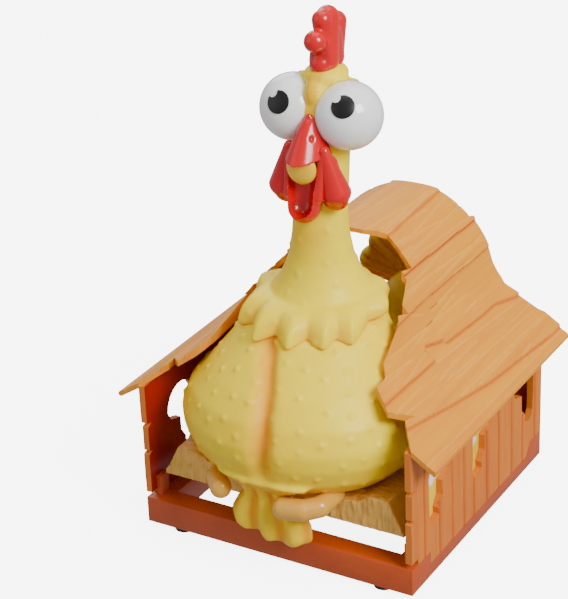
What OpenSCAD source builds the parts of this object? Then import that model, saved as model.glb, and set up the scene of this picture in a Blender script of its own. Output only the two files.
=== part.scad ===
// Press-down hopping chicken on a perch inside a small broken-roofed hen house.
// Millimetres. Origin: middle of the footprint on the resting plane.
// +X is the chicken's left hand side of the house seen from the front, -Y is the front, +Z is up.

/* [Hen house] */
// Width of the base and distance over the outer faces of the side walls
coop_w = 132; // [110:1:160]
// Depth of the base, front to back
coop_d = 132; // [120:1:170]
// Height of the base frame without its feet
base_h = 12.4; // [11:0.2:16]
// Width of each bar of the base frame
base_bar = 10; // [8:0.5:12]
// Thickness of the side walls
wall_t = 3; // [2:0.2:4]
// Thickness of the rear wall
rear_wall_t = 3; // [2:0.2:4]
// Height of the rear wall's top edge above the base
rear_wall_h = 61.6; // [58:0.2:66]
// How far the middle of the rear wall stands inside the base's rear edge
rear_wall_inset = 4.5; // [4:0.5:8]
// Width of each wall window
window_w = 22; // [16:1:26]
// Height of each wall window
window_h = 34; // [26:1:38]
// Height of the windows' lowest point above the base
window_sill = 11.6; // [10:0.2:16]
// Distance from one window to the next along a wall
window_pitch = 42; // [36:1:46]

/* [Roof] */
// Height of the roof ridge above the base
ridge_h = 111.6; // [104:0.2:126]
// Height of the eaves' outer edge above the base
eave_h = 50.6; // [46:0.2:56]
// How far the eaves reach past the side walls
eave_out = 11; // [8:0.5:14]
// Slope of the straight lower part of the roof
roof_pitch = 33; // [28:1:38]
// Radius of the rounded ridge
ridge_r = 40; // [34:1:44]
// Radius of the sweep between ridge and slope
flare_r = 20; // [14:1:26]
// Thickness of the roof
roof_t = 2.4; // [1.6:0.2:3]
// How far the roof reaches behind the base
roof_back = 4.5; // [2:0.5:6]

/* [Feet and fasteners] */
// Height that the rubber feet stand out below the base
foot_h = 2; // [1:0.5:4]
// Diameter of each rubber foot
foot_d = 9; // [6:0.5:9.5]
// Distance of each foot's centre from the base's side edges
foot_in_x = 16; // [12:1:30]
// Diameter of the small screws' threads
screw_d = 2.5; // [2:0.1:3]
// Diameter of the small screws' heads
screw_head_d = 4.8; // [4:0.2:6]

/* [Perch] */
// Travel of the chicken when it is pushed down
travel = 10; // [6:0.5:10.5]
// Gap between the perch's underside and the base frame's top at the bottom of the travel
perch_rest_gap = 1.1; // [0.6:0.1:3]
// Thickness of the perch
perch_h = 15; // [13:0.5:18]
// Gap between the perch's lower edge and each side wall
perch_gap = 3.6; // [3.4:0.1:6]
// How much narrower the perch's top is on each side
perch_taper = 7.6; // [4:0.2:10]
// Gap from the perch's front face to the base's front edge
perch_front_in = 6; // [4:0.5:8]
// Depth of the perch, front to back
perch_d = 74; // [70:1:78]
// Thickness of the toes that hold the breast tuft
toe_d = 9.6; // [8:0.2:11]

/* [Chicken] */
// Gap between the belly's widest point and each side wall
belly_gap = 8.5; // [6:0.5:14]
// Height of the belly skin, bottom to neck opening
belly_h = 72; // [66:1:78]
// Depth of the belly, breast to back, at its widest height
belly_d = 92; // [84:1:98]
// How far the breast overhangs the base's front edge
breast_out = 18; // [14:0.5:20]
// Thickness of the vinyl skin
skin_t = 2.5; // [1.6:0.1:3]
// Radius of the neck
neck_r = 11.5; // [10:0.25:13]
// Height of the crown above the base
crown_h = 194.6; // [186:0.2:206]
// How far the crown leans back from the neck's foot
neck_lean = 9; // [4:0.5:12]
// Gap between the feather cape and the belly under it
cape_gap = 0.6; // [0.4:0.1:1.2]
// Number of feather points around the cape
cape_points = 11; // [8:1:14]
// Diameter of each eye
eye_d = 28.8; // [24:0.2:30]
// Distance of each eye's centre from the middle
eye_x = 13; // [12:0.25:15]
// Diameter of each pupil
pupil_d = 9.8; // [8:0.2:12]
// Thickness of the comb
comb_t = 9.6; // [8:0.2:11]
// Height of the comb above the crown
comb_h = 24.5; // [20:0.5:28]
// How far the tail fan's tips stand behind the base
tail_out = 18; // [16:0.5:20]
// Radius of the fan, from its hub to the lobe tips
fan_r = 33; // [26:1:34]
// Number of lobes in the tail fan
fan_lobes = 7; // [5:2:9]

/* [Mechanism] */
// Diameter of the two guide posts
post_d = 5; // [4:0.25:6]
// Distance of each guide post from the middle
post_x = 29; // [27:0.5:30]
// Distance of each return spring from the middle
spring_x = 43; // [42:0.5:44]
// Outer diameter of the return springs
spring_d = 10; // [8:0.5:11]
// Wire diameter of the return springs
wire_d = 1.2; // [0.8:0.1:1.5]
// Turns in each return spring
spring_turns = 7; // [5:1:8]
// Diameter of the squawker bellows
bellows_d = 30; // [24:1:32]
// Radial running clearance of shafts and posts
run_gap = 0.06; // [0.03:0.01:0.1]
// Gear module of the rack and pinion
gear_m = 1; // [0.9:0.05:1.1]
// Number of teeth on the pinion
pinion_teeth = 12; // [11:1:13]
// Diameter of the pinion's shaft
shaft_d = 3; // [2.5:0.1:3.5]
// Width of the pinion
pinion_w = 5; // [4:0.5:6]
// Thickness of each gearbox cheek
cheek_t = 2; // [1.5:0.1:3]

/* [Hidden] */
$fn = 64;
eps = 0.01;
big = 400;

// House: derived places
half_w = coop_w / 2;
half_d = coop_d / 2;
inner_x = half_w - wall_t;                 // inner face of the side walls
base_top = foot_h + base_h;
rear_wall_top = base_top + rear_wall_h;
window_z = base_top + window_sill;
ridge_z = base_top + ridge_h;
eave_z = base_top + eave_h;
eave_x = half_w + eave_out;
slot_z = foot_h + 6.5;                     // bottom of the walls' lower tabs
slot_y0 = -half_d + 17.4;
slot_y1 = half_d - 16;
slot_slope = 4;                            // the walls' lower tabs lean out to their rear end
rear_y = half_d - rear_wall_inset;         // middle plane of the rear wall
tab_w = 2.7;                               // corner tabs behind the walls' ends
tab_l = 6;
tab_h = 9.5;
window_mid_y = 3.5;                        // middle of the middle window
card_t = 0.8;                              // thickness of the printed card

// Perch and chicken: derived places
perch_z = base_top + travel + perch_rest_gap;   // underside of the perch
perch_top = perch_z + perch_h;
perch_half = inner_x - perch_gap;
perch_y0 = -half_d + perch_front_in;
perch_y1 = perch_y0 + perch_d;
belly_a = inner_x - belly_gap;                  // widest half width
belly_b = belly_d / 2;
belly_y = -half_d - breast_out + belly_b;       // middle of the belly
belly_z = perch_top - 5.5;                      // bottom of the belly, sunk in the saddle
neck_y = belly_y + 20;                          // foot of the neck column
neck_z = belly_z + 108;                         // where the column becomes straight
crown_y = neck_y + neck_lean;
crown_z = base_top + crown_h;
eye_r = eye_d / 2;
eye_z = crown_z - 19;
eye_y = head_y(eye_z) - 3;
beak_y = head_y(eye_z - eye_r) - neck_r;        // front of the head column behind the beak
tuft_z0 = base_top;                             // lowest point of the breast tuft
core_y = belly_y + 4;                           // middle of the inner post's foot
core_screw_r = 14;

// Mechanism: derived places
tray_t = 4;
tray_z = foot_h + 1;
tray_top = tray_z + tray_t;
tray_y0 = perch_y1 - 30;
tray_y1 = perch_y1 + 40;
tray_half = half_w - base_bar - 0.3;
lug_x = tray_half - 5;
lug_y = [tray_y0 + 7, tray_y1 - 7];
post_y = perch_y1 - 16;
boss_r = post_d / 2 + 4;
bush_t = 1.2;
boss_z = perch_z - 7.8;
post_top = belly_z - travel - 0.6;              // the posts stay below the saddle when pushed in
bush_top = post_top + 1;
spring_pocket_z = perch_top - 4.5;
spring_y = post_y;
reed_h = 4;
pitch_r = gear_m * pinion_teeth / 2;
rack_add = 0.65 * gear_m;                       // short rack teeth clear the small pinion's roots
pinion_add = gear_m;
backlash = 0.2;
rack_pitch_y = perch_y1 + 8;                    // pitch line of the rack
rack_back_y = rack_pitch_y - 6;
shaft_y = rack_pitch_y + pitch_r;
shaft_z = perch_z - 3.5;
rack_z0 = shaft_z - 4;
rack_z1 = perch_top;
rack_w = 5;
plunger_screw_x = rack_w / 2 + screw_head_d / 2 + 0.2;
rack_flange = plunger_screw_x + 2.6;            // half width of the rack's top flange
peg_z = shaft_z + 7;                            // underside of the rack's catch peg
peg_reach = 4;                                  // how far the peg stands behind the rack's back
cheek_x = 9;                                    // inner faces of the gearbox cheeks
cheek_y0 = rack_back_y + 3;
cheek_y1 = shaft_y + 18;
cheek_top = shaft_z + 11;
latch_pin_d = 2.5;
latch_y = shaft_y + 2;
latch_z = tray_top + 5;
latch_swing = 16;
bolt_d = 3;
bolt_z = [tray_top + 6, cheek_top - 9];
cheek_screw_x = cheek_x + cheek_t + 4;
cheek_screw_y = [cheek_y0 + 5, cheek_y1 - 5];

// ---------------------------------------------------------------- helpers

function mix(a, b, t) = a * (1 - t) + b * t;

// Value at x in a list of [x, value] pairs, straight between them
function at(list, x, i = 0) =
    x <= list[0][0] ? list[0][1]
    : i >= len(list) - 1 ? list[len(list) - 1][1]
    : x <= list[i + 1][0]
        ? mix(list[i][1], list[i + 1][1], (x - list[i][0]) / (list[i + 1][0] - list[i][0]))
    : at(list, x, i + 1);

// Closed solid through rings of points that all have the same count
module loft(rings) {
    n = len(rings[0]);
    m = len(rings);
    points = [for (r = rings) each r];
    sides = [for (i = [0 : m - 2], j = [0 : n - 1]) each [
        [i * n + j, (i + 1) * n + (j + 1) % n, i * n + (j + 1) % n],
        [i * n + j, (i + 1) * n + j, (i + 1) * n + (j + 1) % n]]];
    first = [for (j = [0 : n - 1]) j];
    last = [for (j = [n - 1 : -1 : 0]) (m - 1) * n + j];
    polyhedron(points, concat(sides, [first], [last]), convexity = 6);
}

// Cylinder from one point to another
module rod(p, q, r) {
    d = q - p;
    length = norm(d);
    translate(p) rotate([0, acos(d[2] / length), atan2(d[1], d[0])]) cylinder(r = r, h = length);
}

// Outline drawn in X (first) and Z (second), extruded along Y between two planes
module extrude_y(y0, y1) {
    translate([0, y1, 0]) rotate([90, 0, 0]) linear_extrude(y1 - y0) children();
}

// Outline drawn in Y (first) and Z (second), extruded along X between two planes
module extrude_x(x0, x1) {
    translate([x0, 0, 0]) rotate([90, 0, 90]) linear_extrude(x1 - x0) children();
}

module box(lo, hi) {
    translate(lo) cube(hi - lo);
}

module screw(head_h, length) {
    cylinder(d = screw_head_d, h = head_h);
    translate([0, 0, head_h - eps]) cylinder(d = screw_d, h = length + eps);
}

// ---------------------------------------------------------------- roof outline

// Right half of the roof line, ridge to eave, moved inwards by inset
function flare_start() =
    let (u = [-cos(roof_pitch), sin(roof_pitch)], n = [sin(roof_pitch), cos(roof_pitch)],
         e = [eave_x, eave_z], c0 = [0, ridge_z - ridge_r], d = e + flare_r * n - c0,
         b = d * u, c = d * d - pow(ridge_r + flare_r, 2))
    e + (-b - sqrt(b * b - c)) * u + flare_r * n;

function roof_line(inset) =
    let (c0 = [0, ridge_z - ridge_r], c1 = flare_start(), w = c1 - c0,
         turn = atan2(w[0], w[1]), steps = 8, n = [sin(roof_pitch), cos(roof_pitch)])
    concat(
        [for (i = [0 : steps]) c0 + (ridge_r - inset) * [sin(turn * i / steps), cos(turn * i / steps)]],
        [for (i = [0 : steps / 2])
            let (a = mix(turn, roof_pitch, i * 2 / steps))
            c1 - (flare_r + inset) * [sin(a), cos(a)]],
        [[eave_x, eave_z] - inset * n]);

function both_halves(line) =
    concat([for (i = [len(line) - 1 : -1 : 1]) [-line[i][0], line[i][1]]], line);

module under_roof_outline() {
    line = both_halves(roof_line(roof_t));
    polygon(concat(line, [[eave_x, 0], [-eave_x, 0]]));
}

module roof_outline() {
    outer = both_halves(roof_line(0));
    inner = both_halves(roof_line(roof_t));
    polygon(concat(outer, [for (i = [len(inner) - 1 : -1 : 0]) inner[i]]));
}

// Broken front edge of the roof in plan, eave to ridge, as shares of the half width and half depth
roof_front = [
    [1, -1], [0.87, -0.82], [0.89, -0.72], [0.77, -0.86], [0.65, -0.77], [0.64, -0.63], [0.6, -0.58],
    [0.555, -0.28], [0.54, -0.26], [0.556, -0.15], [0.52, -0.16], [0.455, 0.03], [0.42, 0.025],
    [0.44, 0.13],
    [0.3, 0.205], [0.2, 0.26], [0.14, 0.24], [0.04, 0.2]];
// Ragged rear edge, ridge to eave: share of the half width, and millimetres past the roof's back
roof_rear = [[0.2, 0], [0.42, -2], [0.44, 0.6], [0.66, -0.8], [0.7, -2.6], [0.94, -0.5], [0.98, 1]];

// ---------------------------------------------------------------- chicken outlines

// Half width, half depth factor and middle of the belly at a height above its bottom, as shares
belly_sections = [
    [0, [0.28, 0.27, 0]], [0.028, [0.64, 0.64, 0]], [0.097, [0.81, 0.8, 0]],
    [0.18, [0.92, 0.92, 0]], [0.305, [0.99, 0.99, 0]], [0.4, [1, 1, 0]], [0.54, [0.93, 0.955, 1.5]],
    [0.667, [0.78, 0.87, 4.5]], [0.79, [0.655, 0.76, 9]], [0.903, [0.575, 0.65, 14]],
    [0.972, [0.44, 0.49, 18]], [1, [0.26, 0.3, 20]]];

function belly_at(t) = at(belly_sections, t);

function belly_ring(t, grow, count = 40) =
    let (s = belly_at(t), a = s[0] * belly_a + grow, b = s[1] * belly_b + grow, y = belly_y + s[2],
         z = belly_z + t * belly_h)
    [for (i = [0 : count - 1]) [a * cos(360 * i / count), y + b * sin(360 * i / count), z]];

// Half width, lowest and highest point of the back at stations from the belly to the tail stem
stem_z0 = belly_z + 33;
stem_z1 = belly_z + 49;
stem_r = 9;
back_sections = [
    [belly_y + 12, 0.86, belly_z + 8, belly_z + 64], [belly_y + 36, 0.7, belly_z + 12, belly_z + 60],
    [belly_y + 58, 0.44, belly_z + 20, belly_z + 53], [belly_y + 78, 0.26, belly_z + 28, belly_z + 49]];

function oval_y(y, a, z0, z1, count = 32) =
    let (c = (z0 + z1) / 2, h = (z1 - z0) / 2)
    [for (i = [0 : count - 1]) [-a * cos(360 * i / count), y, c + h * sin(360 * i / count)]];

function head_y(z) = mix(neck_y, crown_y, max(0, (z - neck_z) / (crown_z - neck_z)));

// ---------------------------------------------------------------- house parts

module base_frame() {
    color("sienna") {
        difference() {
            box([-half_w, -half_d, foot_h], [half_w, half_d, base_top]);
            box([-half_w + base_bar, -half_d + base_bar, -1], [half_w - base_bar, half_d - base_bar, 99]);
            for (s = [-1, 1]) {
                extrude_x(min(s * inner_x, s * big), max(s * inner_x, s * big)) polygon([
                    [slot_y0, slot_z], [slot_y1, slot_z], [slot_y1 + slot_slope, base_top],
                    [slot_y1 + slot_slope, 99], [slot_y0, 99]]);
            }
        }
        for (s = [-1, 1], y = [-half_d + 4, half_d - 4 - tab_l - rear_wall_inset])
            box([min(s * inner_x, s * (inner_x - tab_w)), y, base_top - eps],
                [max(s * inner_x, s * (inner_x - tab_w)), y + tab_l, base_top + tab_h]);
        for (s = [-1, 1], y = lug_y) difference() {
            box([min(s * (lug_x - 4), s * (half_w - base_bar + eps)), y - 4, tray_top],
                [max(s * (lug_x - 4), s * (half_w - base_bar + eps)), y + 4, base_top]);
            translate([s * lug_x, y, 0]) cylinder(d = screw_d, h = base_top - 2);
        }
    }
}

module rubber_feet() {
    color("dimgray") for (s = [-1, 1], t = [-1, 1])
        translate([s * (half_w - foot_in_x), t * (half_d - base_bar / 2), 0])
            cylinder(d = foot_d, h = foot_h);
}

// Ragged window outline, standing on its lowest point
module window_shape(flip) {
    w = window_w;
    h = window_h;
    translate([flip ? w : 0, 0]) mirror([flip ? 1 : 0, 0])
        polygon(concat(
            [[0, 0.12 * h], [0.14 * w, 0], [0.42 * w, 0.07 * h], [0.4 * w, 0.16 * h], [0.55 * w, 0.3 * h],
             [0.56 * w, 0.5 * h], [0.9 * w, 0.56 * h]],
            [for (a = [0 : 20 : 180]) [w / 2 + w / 2 * cos(a), 0.68 * h + 0.32 * h * sin(a)]]));
}

module side_wall(flips) {
    intersection() {
        extrude_x(inner_x, half_w) difference() {
            polygon([
                [-half_d, base_top + 3], [-half_d + 5.5, base_top + 3], [-half_d + 6, base_top],
                [slot_y0, base_top], [slot_y0, slot_z], [slot_y1, slot_z],
                [slot_y1 + slot_slope, base_top],
                [half_d, base_top], [half_d, base_top + 34], [half_d - 1.2, base_top + 36],
                [half_d, base_top + 38],
                [half_d, 99], [-half_d, 99], [-half_d, base_top + 38], [-half_d + 3.5, base_top + 37],
                [-half_d + 0.6, base_top + 35.5], [-half_d + 0.6, base_top + 24],
                [-half_d + 2.8, base_top + 23.2],
                [-half_d, base_top + 22]]);
            for (i = [-1 : 1])
                translate([window_mid_y + i * window_pitch - window_w / 2, window_z])
                    window_shape(flips[i + 1]);
        }
        extrude_y(-half_d, half_d) under_roof_outline();
    }
}

module right_wall() {
    color("chocolate") side_wall([false, false, true]);
}

module left_wall() {
    color("chocolate") mirror([1, 0, 0]) side_wall([true, false, false]);
}

module rear_wall() {
    notch_r = stem_r + 1.6;
    notch_z = stem_z0 - travel - 2;
    color("brown") intersection() {
        extrude_y(rear_y - rear_wall_t / 2, rear_y + rear_wall_t / 2) polygon([
            [-inner_x, base_top], [inner_x, base_top], [inner_x, rear_wall_top], [30, rear_wall_top],
            [26, rear_wall_top - 2.5], [notch_r, rear_wall_top - 1.5], [notch_r, notch_z],
            [-notch_r, notch_z], [-notch_r, rear_wall_top], [-27, rear_wall_top - 2],
            [-33, rear_wall_top], [-inner_x, rear_wall_top]]);
        extrude_y(-half_d, half_d) under_roof_outline();
    }
}

module roof() {
    back_y = half_d + roof_back;
    front = concat([[eave_x, -half_d]], [for (p = roof_front) [p[0] * half_w, p[1] * half_d]]);
    rear = concat([for (p = roof_rear) [p[0] * half_w, back_y + p[1]]], [[eave_x, back_y]]);
    right = concat(front, [for (i = [len(front) - 1 : -1 : 0]) [-front[i][0], front[i][1]]]);
    back = concat([for (i = [len(rear) - 1 : -1 : 0]) [-rear[i][0], rear[i][1]]], rear);
    color("goldenrod") intersection() {
        extrude_y(-half_d - 1, back_y + 4) roof_outline();
        translate([0, 0, 1]) linear_extrude(ridge_z + 10) polygon(concat(right, back));
    }
}

// Printed card behind the two front windows of the right wall
module window_card() {
    reach = window_w / 2 + 3;
    color("khaki")
        box([inner_x - card_t - 0.05, window_mid_y - window_pitch - reach, window_z - 3],
            [inner_x - 0.05, window_mid_y + reach, window_z + window_h + 3]);
}

// ---------------------------------------------------------------- mechanism parts in the house

module mechanism_tray() {
    color("dimgray") difference() {
        box([-tray_half, tray_y0, tray_z], [tray_half, tray_y1, tray_top]);
        for (s = [-1, 1], y = lug_y) translate([s * lug_x, y, tray_z - 1]) {
            cylinder(d = screw_d + 0.4, h = tray_t + 2);
            cylinder(d = screw_head_d + 0.6, h = 3);
        }
        for (s = [-1, 1]) translate([s * post_x, post_y, tray_z + 1]) cylinder(d = post_d, h = tray_t);
        for (s = [-1, 1], y = cheek_screw_y) translate([s * cheek_screw_x, y, tray_z + 1])
            cylinder(d = screw_d, h = tray_t);
    }
}

module tray_screws() {
    color("silver") for (s = [-1, 1], y = lug_y) translate([s * lug_x, y, tray_z + 0.4])
        screw(1.6, tray_t + 2.6);
}

module guide_posts() {
    color("silver") for (s = [-1, 1]) translate([s * post_x, post_y, tray_z + 1]) {
        cylinder(d = post_d, h = post_top - tray_z - 2);
        translate([0, 0, post_top - tray_z - 2]) cylinder(d1 = post_d, d2 = post_d - 1, h = 1);
    }
}

module cheek(side) {
    lo = side > 0 ? cheek_x : -cheek_x - cheek_t;
    foot_lo = side > 0 ? cheek_x : -cheek_x - cheek_t - 7;
    difference() {
        union() {
            extrude_x(lo, lo + cheek_t) polygon([
                [cheek_y0, tray_top], [cheek_y1, tray_top], [cheek_y1, cheek_top - 6],
                [cheek_y1 - 6, cheek_top],
                [cheek_y0 + 6, cheek_top], [cheek_y0, cheek_top - 6]]);
            box([foot_lo, cheek_y0, tray_top], [foot_lo + cheek_t + 7, cheek_y1, tray_top + 2]);
            translate([lo, shaft_y, shaft_z]) rotate([0, 90, 0]) translate([0, 0, side > 0 ? 0 : -1])
                cylinder(d = shaft_d + 4, h = cheek_t + 1);
        }
        translate([lo - 5, shaft_y, shaft_z]) rotate([0, 90, 0])
            cylinder(r = shaft_d / 2 + run_gap, h = 15);
        translate([lo - 5, latch_y, latch_z]) rotate([0, 90, 0]) cylinder(d = latch_pin_d, h = 15);
        for (z = bolt_z) translate([lo - 5, cheek_y1 - 4, z]) rotate([0, 90, 0])
            cylinder(d = bolt_d, h = 15);
        for (y = cheek_screw_y) translate([side * cheek_screw_x, y, 0])
            cylinder(d = screw_d + 0.4, h = 99);
    }
}

module gearbox_left() {
    color("gray") cheek(-1);
}

module gearbox_right() {
    color("gray") cheek(1);
}

module gearbox_bolts() {
    reach = cheek_x + cheek_t;
    color("silver") for (z = bolt_z) translate([0, cheek_y1 - 4, z]) rotate([0, 90, 0]) {
        translate([0, 0, -reach - 1]) cylinder(d = bolt_d, h = 2 * reach + 2);
        translate([0, 0, -cheek_x + 0.02]) cylinder(d = bolt_d + 2, h = 2 * cheek_x - 0.04);
        for (s = [-1, 1]) translate([0, 0, s > 0 ? reach + 0.02 : -reach - 1.62])
            cylinder(d = bolt_d + 2.4, h = 1.6);
    }
}

module cheek_screws() {
    color("silver") for (s = [-1, 1], y = cheek_screw_y)
        translate([s * cheek_screw_x, y, tray_top + 2 + 1.4]) mirror([0, 0, 1]) screw(1.4, 4.5);
}

module latch_pin() {
    color("silver") translate([-cheek_x - cheek_t, latch_y, latch_z]) rotate([0, 90, 0])
        cylinder(d = latch_pin_d, h = 2 * (cheek_x + cheek_t));
}

module reed_box() {
    color("ivory") {
        difference() {
            translate([0, post_y + 1, tray_top]) cylinder(d = bellows_d, h = reed_h);
            translate([0, post_y + 1, tray_top + 1.2]) cylinder(d = bellows_d - 8, h = reed_h);
        }
        translate([0, post_y + 1, tray_top + 1.2 - eps]) difference() {
            cylinder(d = 7, h = reed_h - 1.4);
            translate([0, 0, -1]) cylinder(d = 4.4, h = reed_h + 2);
        }
    }
}

// Concertina between the reed box and the perch
module squawk_bellows() {
    z0 = tray_top + reed_h;
    height = perch_z - z0;
    folds = 4;
    pitch = height / folds;
    r = bellows_d / 2;
    outer = concat([for (i = [0 : folds - 1]) each [[r - 3, i * pitch], [r, (i + 0.5) * pitch]]],
        [[r - 3, height]]);
    color("black") translate([0, post_y + 1, z0]) rotate_extrude() polygon(concat(
        outer, [for (i = [len(outer) - 1 : -1 : 0]) outer[i] - [1.2, 0]]));
}

// Round wire wound into a helix, closed at both ends
module helix(radius, wire, height, turns) {
    per_turn = 12;
    sides = 6;
    steps = turns * per_turn;
    rise = (height - wire) / steps;
    loft([for (i = [0 : steps])
        let (a = 360 * i / per_turn)
        [for (k = [0 : sides - 1])
            let (b = -360 * k / sides)
            [(radius + wire / 2 * cos(b)) * cos(a), (radius + wire / 2 * cos(b)) * sin(a),
             wire / 2 + rise * i + wire / 2 * sin(b)]]]);
}

module return_springs() {
    color("silver") for (s = [-1, 1]) translate([s * spring_x, spring_y, tray_top])
        helix((spring_d - wire_d) / 2, wire_d, spring_pocket_z - tray_top, spring_turns);
}

// ---------------------------------------------------------------- perch and drive parts

// Cross-section of the dip that the belly sits in
module saddle_outline() {
    clear = 0.1;
    steps = [0, 0.028, 0.097, 0.18];
    half = [for (t = steps) [belly_at(t)[0] * belly_a + 1.2, belly_z + t * belly_h - clear]];
    polygon(concat(half, [for (i = [len(half) - 1 : -1 : 0]) [-half[i][0], half[i][1]]]));
}

module perch_platform() {
    color("burlywood") difference() {
        union() {
            extrude_y(perch_y0, perch_y1) polygon([
                [-perch_half, perch_z], [perch_half, perch_z], [perch_half - perch_taper, perch_top],
                [-perch_half + perch_taper, perch_top]]);
            for (s = [-1, 1]) translate([s * post_x, post_y, boss_z])
                cylinder(r = boss_r, h = perch_z - boss_z + 1.5);
            box([-rack_flange, perch_y1 - eps, perch_top - 6], [rack_flange, rack_back_y, perch_top]);
        }
        extrude_y(perch_y0 - 1, big) saddle_outline();
        for (s = [-1, 1]) translate([s * post_x, post_y, boss_z - 1]) {
            cylinder(d = post_d + 2 * bush_t, h = bush_top - boss_z + 1);
            cylinder(d = post_d + 0.8, h = post_top + travel + 0.7 - boss_z + 1);
        }
        for (s = [-1, 1]) translate([s * spring_x, spring_y, perch_z - 1])
            cylinder(d = spring_d + 1, h = spring_pocket_z - perch_z + 1);
        for (a = [45 : 90 : 315]) translate([core_screw_r * cos(a), core_y + core_screw_r * sin(a), 0]) {
            cylinder(d = screw_d + 0.4, h = 99);
            cylinder(d = screw_head_d + 0.6, h = perch_z + 3);
        }
        for (s = [-1, 1]) translate([s * plunger_screw_x, rack_back_y + 5, perch_top - 3])
            rotate([90, 0, 0]) cylinder(d = screw_d, h = 12);
    }
}

module post_bushes() {
    color("white") for (s = [-1, 1]) translate([s * post_x, post_y, boss_z]) difference() {
        cylinder(d = post_d + 2 * bush_t, h = bush_top - boss_z);
        translate([0, 0, -1]) cylinder(r = post_d / 2 + run_gap, h = 99);
    }
}

// Two stubby toes that curl in front of the perch and hold the breast tuft
module toes() {
    r = toe_d / 2;
    z = perch_top - 3;
    y0 = perch_y0 - r - 0.1;
    y1 = -half_d - 11.6;
    color("burlywood") {
        difference() {
            union() {
                rounded_bar([[29, perch_y0 - 2, z], [28, y1 + 2, z - 0.5], [24, y1, z - 1],
                    [12, y1, z - 1]], r);
                rounded_bar([[-28, perch_y0 - 2, z], [-27, y1 + 4, z - 0.5], [-24, y1 + 1, z - 1],
                    [-21, y1, z - 1]], r);
            }
            box([-big, perch_y0, 0], [big, big, 99]);
            belly_solid(0.3);
        }
    }
}

module rounded_bar(points, r) {
    for (i = [0 : len(points) - 2]) hull() {
        translate(points[i]) sphere(r, $fn = 20);
        translate(points[i + 1]) sphere(r, $fn = 20);
    }
}

// Straight toothed bar behind the perch that drives the pinion, with the catch peg on its left side
module plunger_rack() {
    pitch = PI * gear_m;
    half = pitch / 4 - backlash / 4;
    slope = tan(20);
    count_down = floor((shaft_z - rack_z0) / pitch);
    count_up = floor((rack_z1 - 7 - shaft_z) / pitch);
    color("gainsboro") difference() {
        union() {
            box([-rack_w / 2, rack_back_y, rack_z0], [rack_w / 2, rack_pitch_y - 1.25 * gear_m, rack_z1]);
            box([-rack_flange, rack_back_y, rack_z1 - 6], [rack_flange, rack_back_y + 2, rack_z1]);
            extrude_x(-rack_w / 2, rack_w / 2) for (i = [-count_down : count_up])
                translate([rack_pitch_y, shaft_z + i * pitch]) polygon([
                    [-1.25 * gear_m - eps, -half - 1.25 * gear_m * slope],
                    [rack_add, -half + rack_add * slope],
                    [rack_add, half - rack_add * slope],
                        [-1.25 * gear_m - eps, half + 1.25 * gear_m * slope]]);
            box([-cheek_x + 1.5, rack_back_y, peg_z],
                [-rack_w / 2 + eps, rack_back_y + peg_reach, peg_z + 3]);
        }
        for (s = [-1, 1]) translate([s * plunger_screw_x, rack_back_y + 3, rack_z1 - 3])
            rotate([90, 0, 0]) cylinder(d = screw_d + 0.4, h = 4);
    }
}

module plunger_screws() {
    color("silver") for (s = [-1, 1])
        translate([s * plunger_screw_x, rack_back_y + 2 + 1.4, rack_z1 - 3]) rotate([90, 0, 0])
            screw(1.4, 6.5);
}

// ---------------------------------------------------------------- turning parts

// One flank point of an involute tooth: radius r, base radius rb
function inv_angle(r, rb) = let (a = acos(min(1, rb / r))) (tan(a) - a * PI / 180) * 180 / PI;

module pinion_outline() {
    rb = pitch_r * cos(20);
    tip = pitch_r + pinion_add;
    root = pitch_r - rack_add - 0.25 * gear_m;
    half_deg = (PI * gear_m / 4 - backlash / 4) / pitch_r * 180 / PI;
    shift = half_deg + inv_angle(pitch_r, rb);
    radii = [for (i = [0 : 5]) mix(max(rb, root), tip, i / 5)];
    union() {
        circle(r = root + eps);
        for (k = [0 : pinion_teeth - 1]) rotate(360 * (k + 0.5) / pinion_teeth) polygon(concat(
            [[(root - 0.5) * cos(shift), -(root - 0.5) * sin(shift)]],
            [for (r = radii) let (a = shift - inv_angle(r, rb)) [r * cos(a), -r * sin(a)]],
            [for (i = [5 : -1 : 0])
            let (r = radii[i], a = shift - inv_angle(r, rb)) [r * cos(a), r * sin(a)]],
            [[(root - 0.5) * cos(shift), (root - 0.5) * sin(shift)]]));
    }
}

module cam_shaft() {
    reach = cheek_x + cheek_t + 2;
    color("silver") translate([0, shaft_y, shaft_z]) rotate([0, 90, 0]) {
        translate([0, 0, -reach]) cylinder(d = shaft_d, h = 2 * reach);
        for (s = [-1, 1]) translate([0, 0, s > 0 ? reach - 0.5 : -reach - 0.5])
            cylinder(d = shaft_d + 1.6, h = 1);
    }
}

module pinion_gear() {
    color("whitesmoke") translate([0, shaft_y, shaft_z]) difference() {
        extrude_x(-pinion_w / 2, pinion_w / 2) rotate(180) pinion_outline();
        translate([-20, 0, 0]) rotate([0, 90, 0]) cylinder(d = shaft_d, h = 40);
    }
}

module timing_cam() {
    cam_r = 8.5;
    color("tomato") translate([0, shaft_y, shaft_z]) difference() {
        extrude_x(pinion_w / 2 + 0.2, cheek_x - 1.4) difference() {
            circle(r = cam_r);
            for (a = [30, 75, 160, 240]) rotate(a) translate([cam_r, 0]) circle(r = 1.8, $fn = 16);
        }
        translate([-20, 0, 0]) rotate([0, 90, 0]) cylinder(d = shaft_d, h = 40);
    }
}

// Where a point that the latched lever has at [y, z] is while the lever is released
function released(p) =
    let (d = p - [latch_y, latch_z])
    [latch_y + d[0] * cos(latch_swing) + d[1] * sin(latch_swing),
     latch_z - d[0] * sin(latch_swing) + d[1] * cos(latch_swing)];

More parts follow.
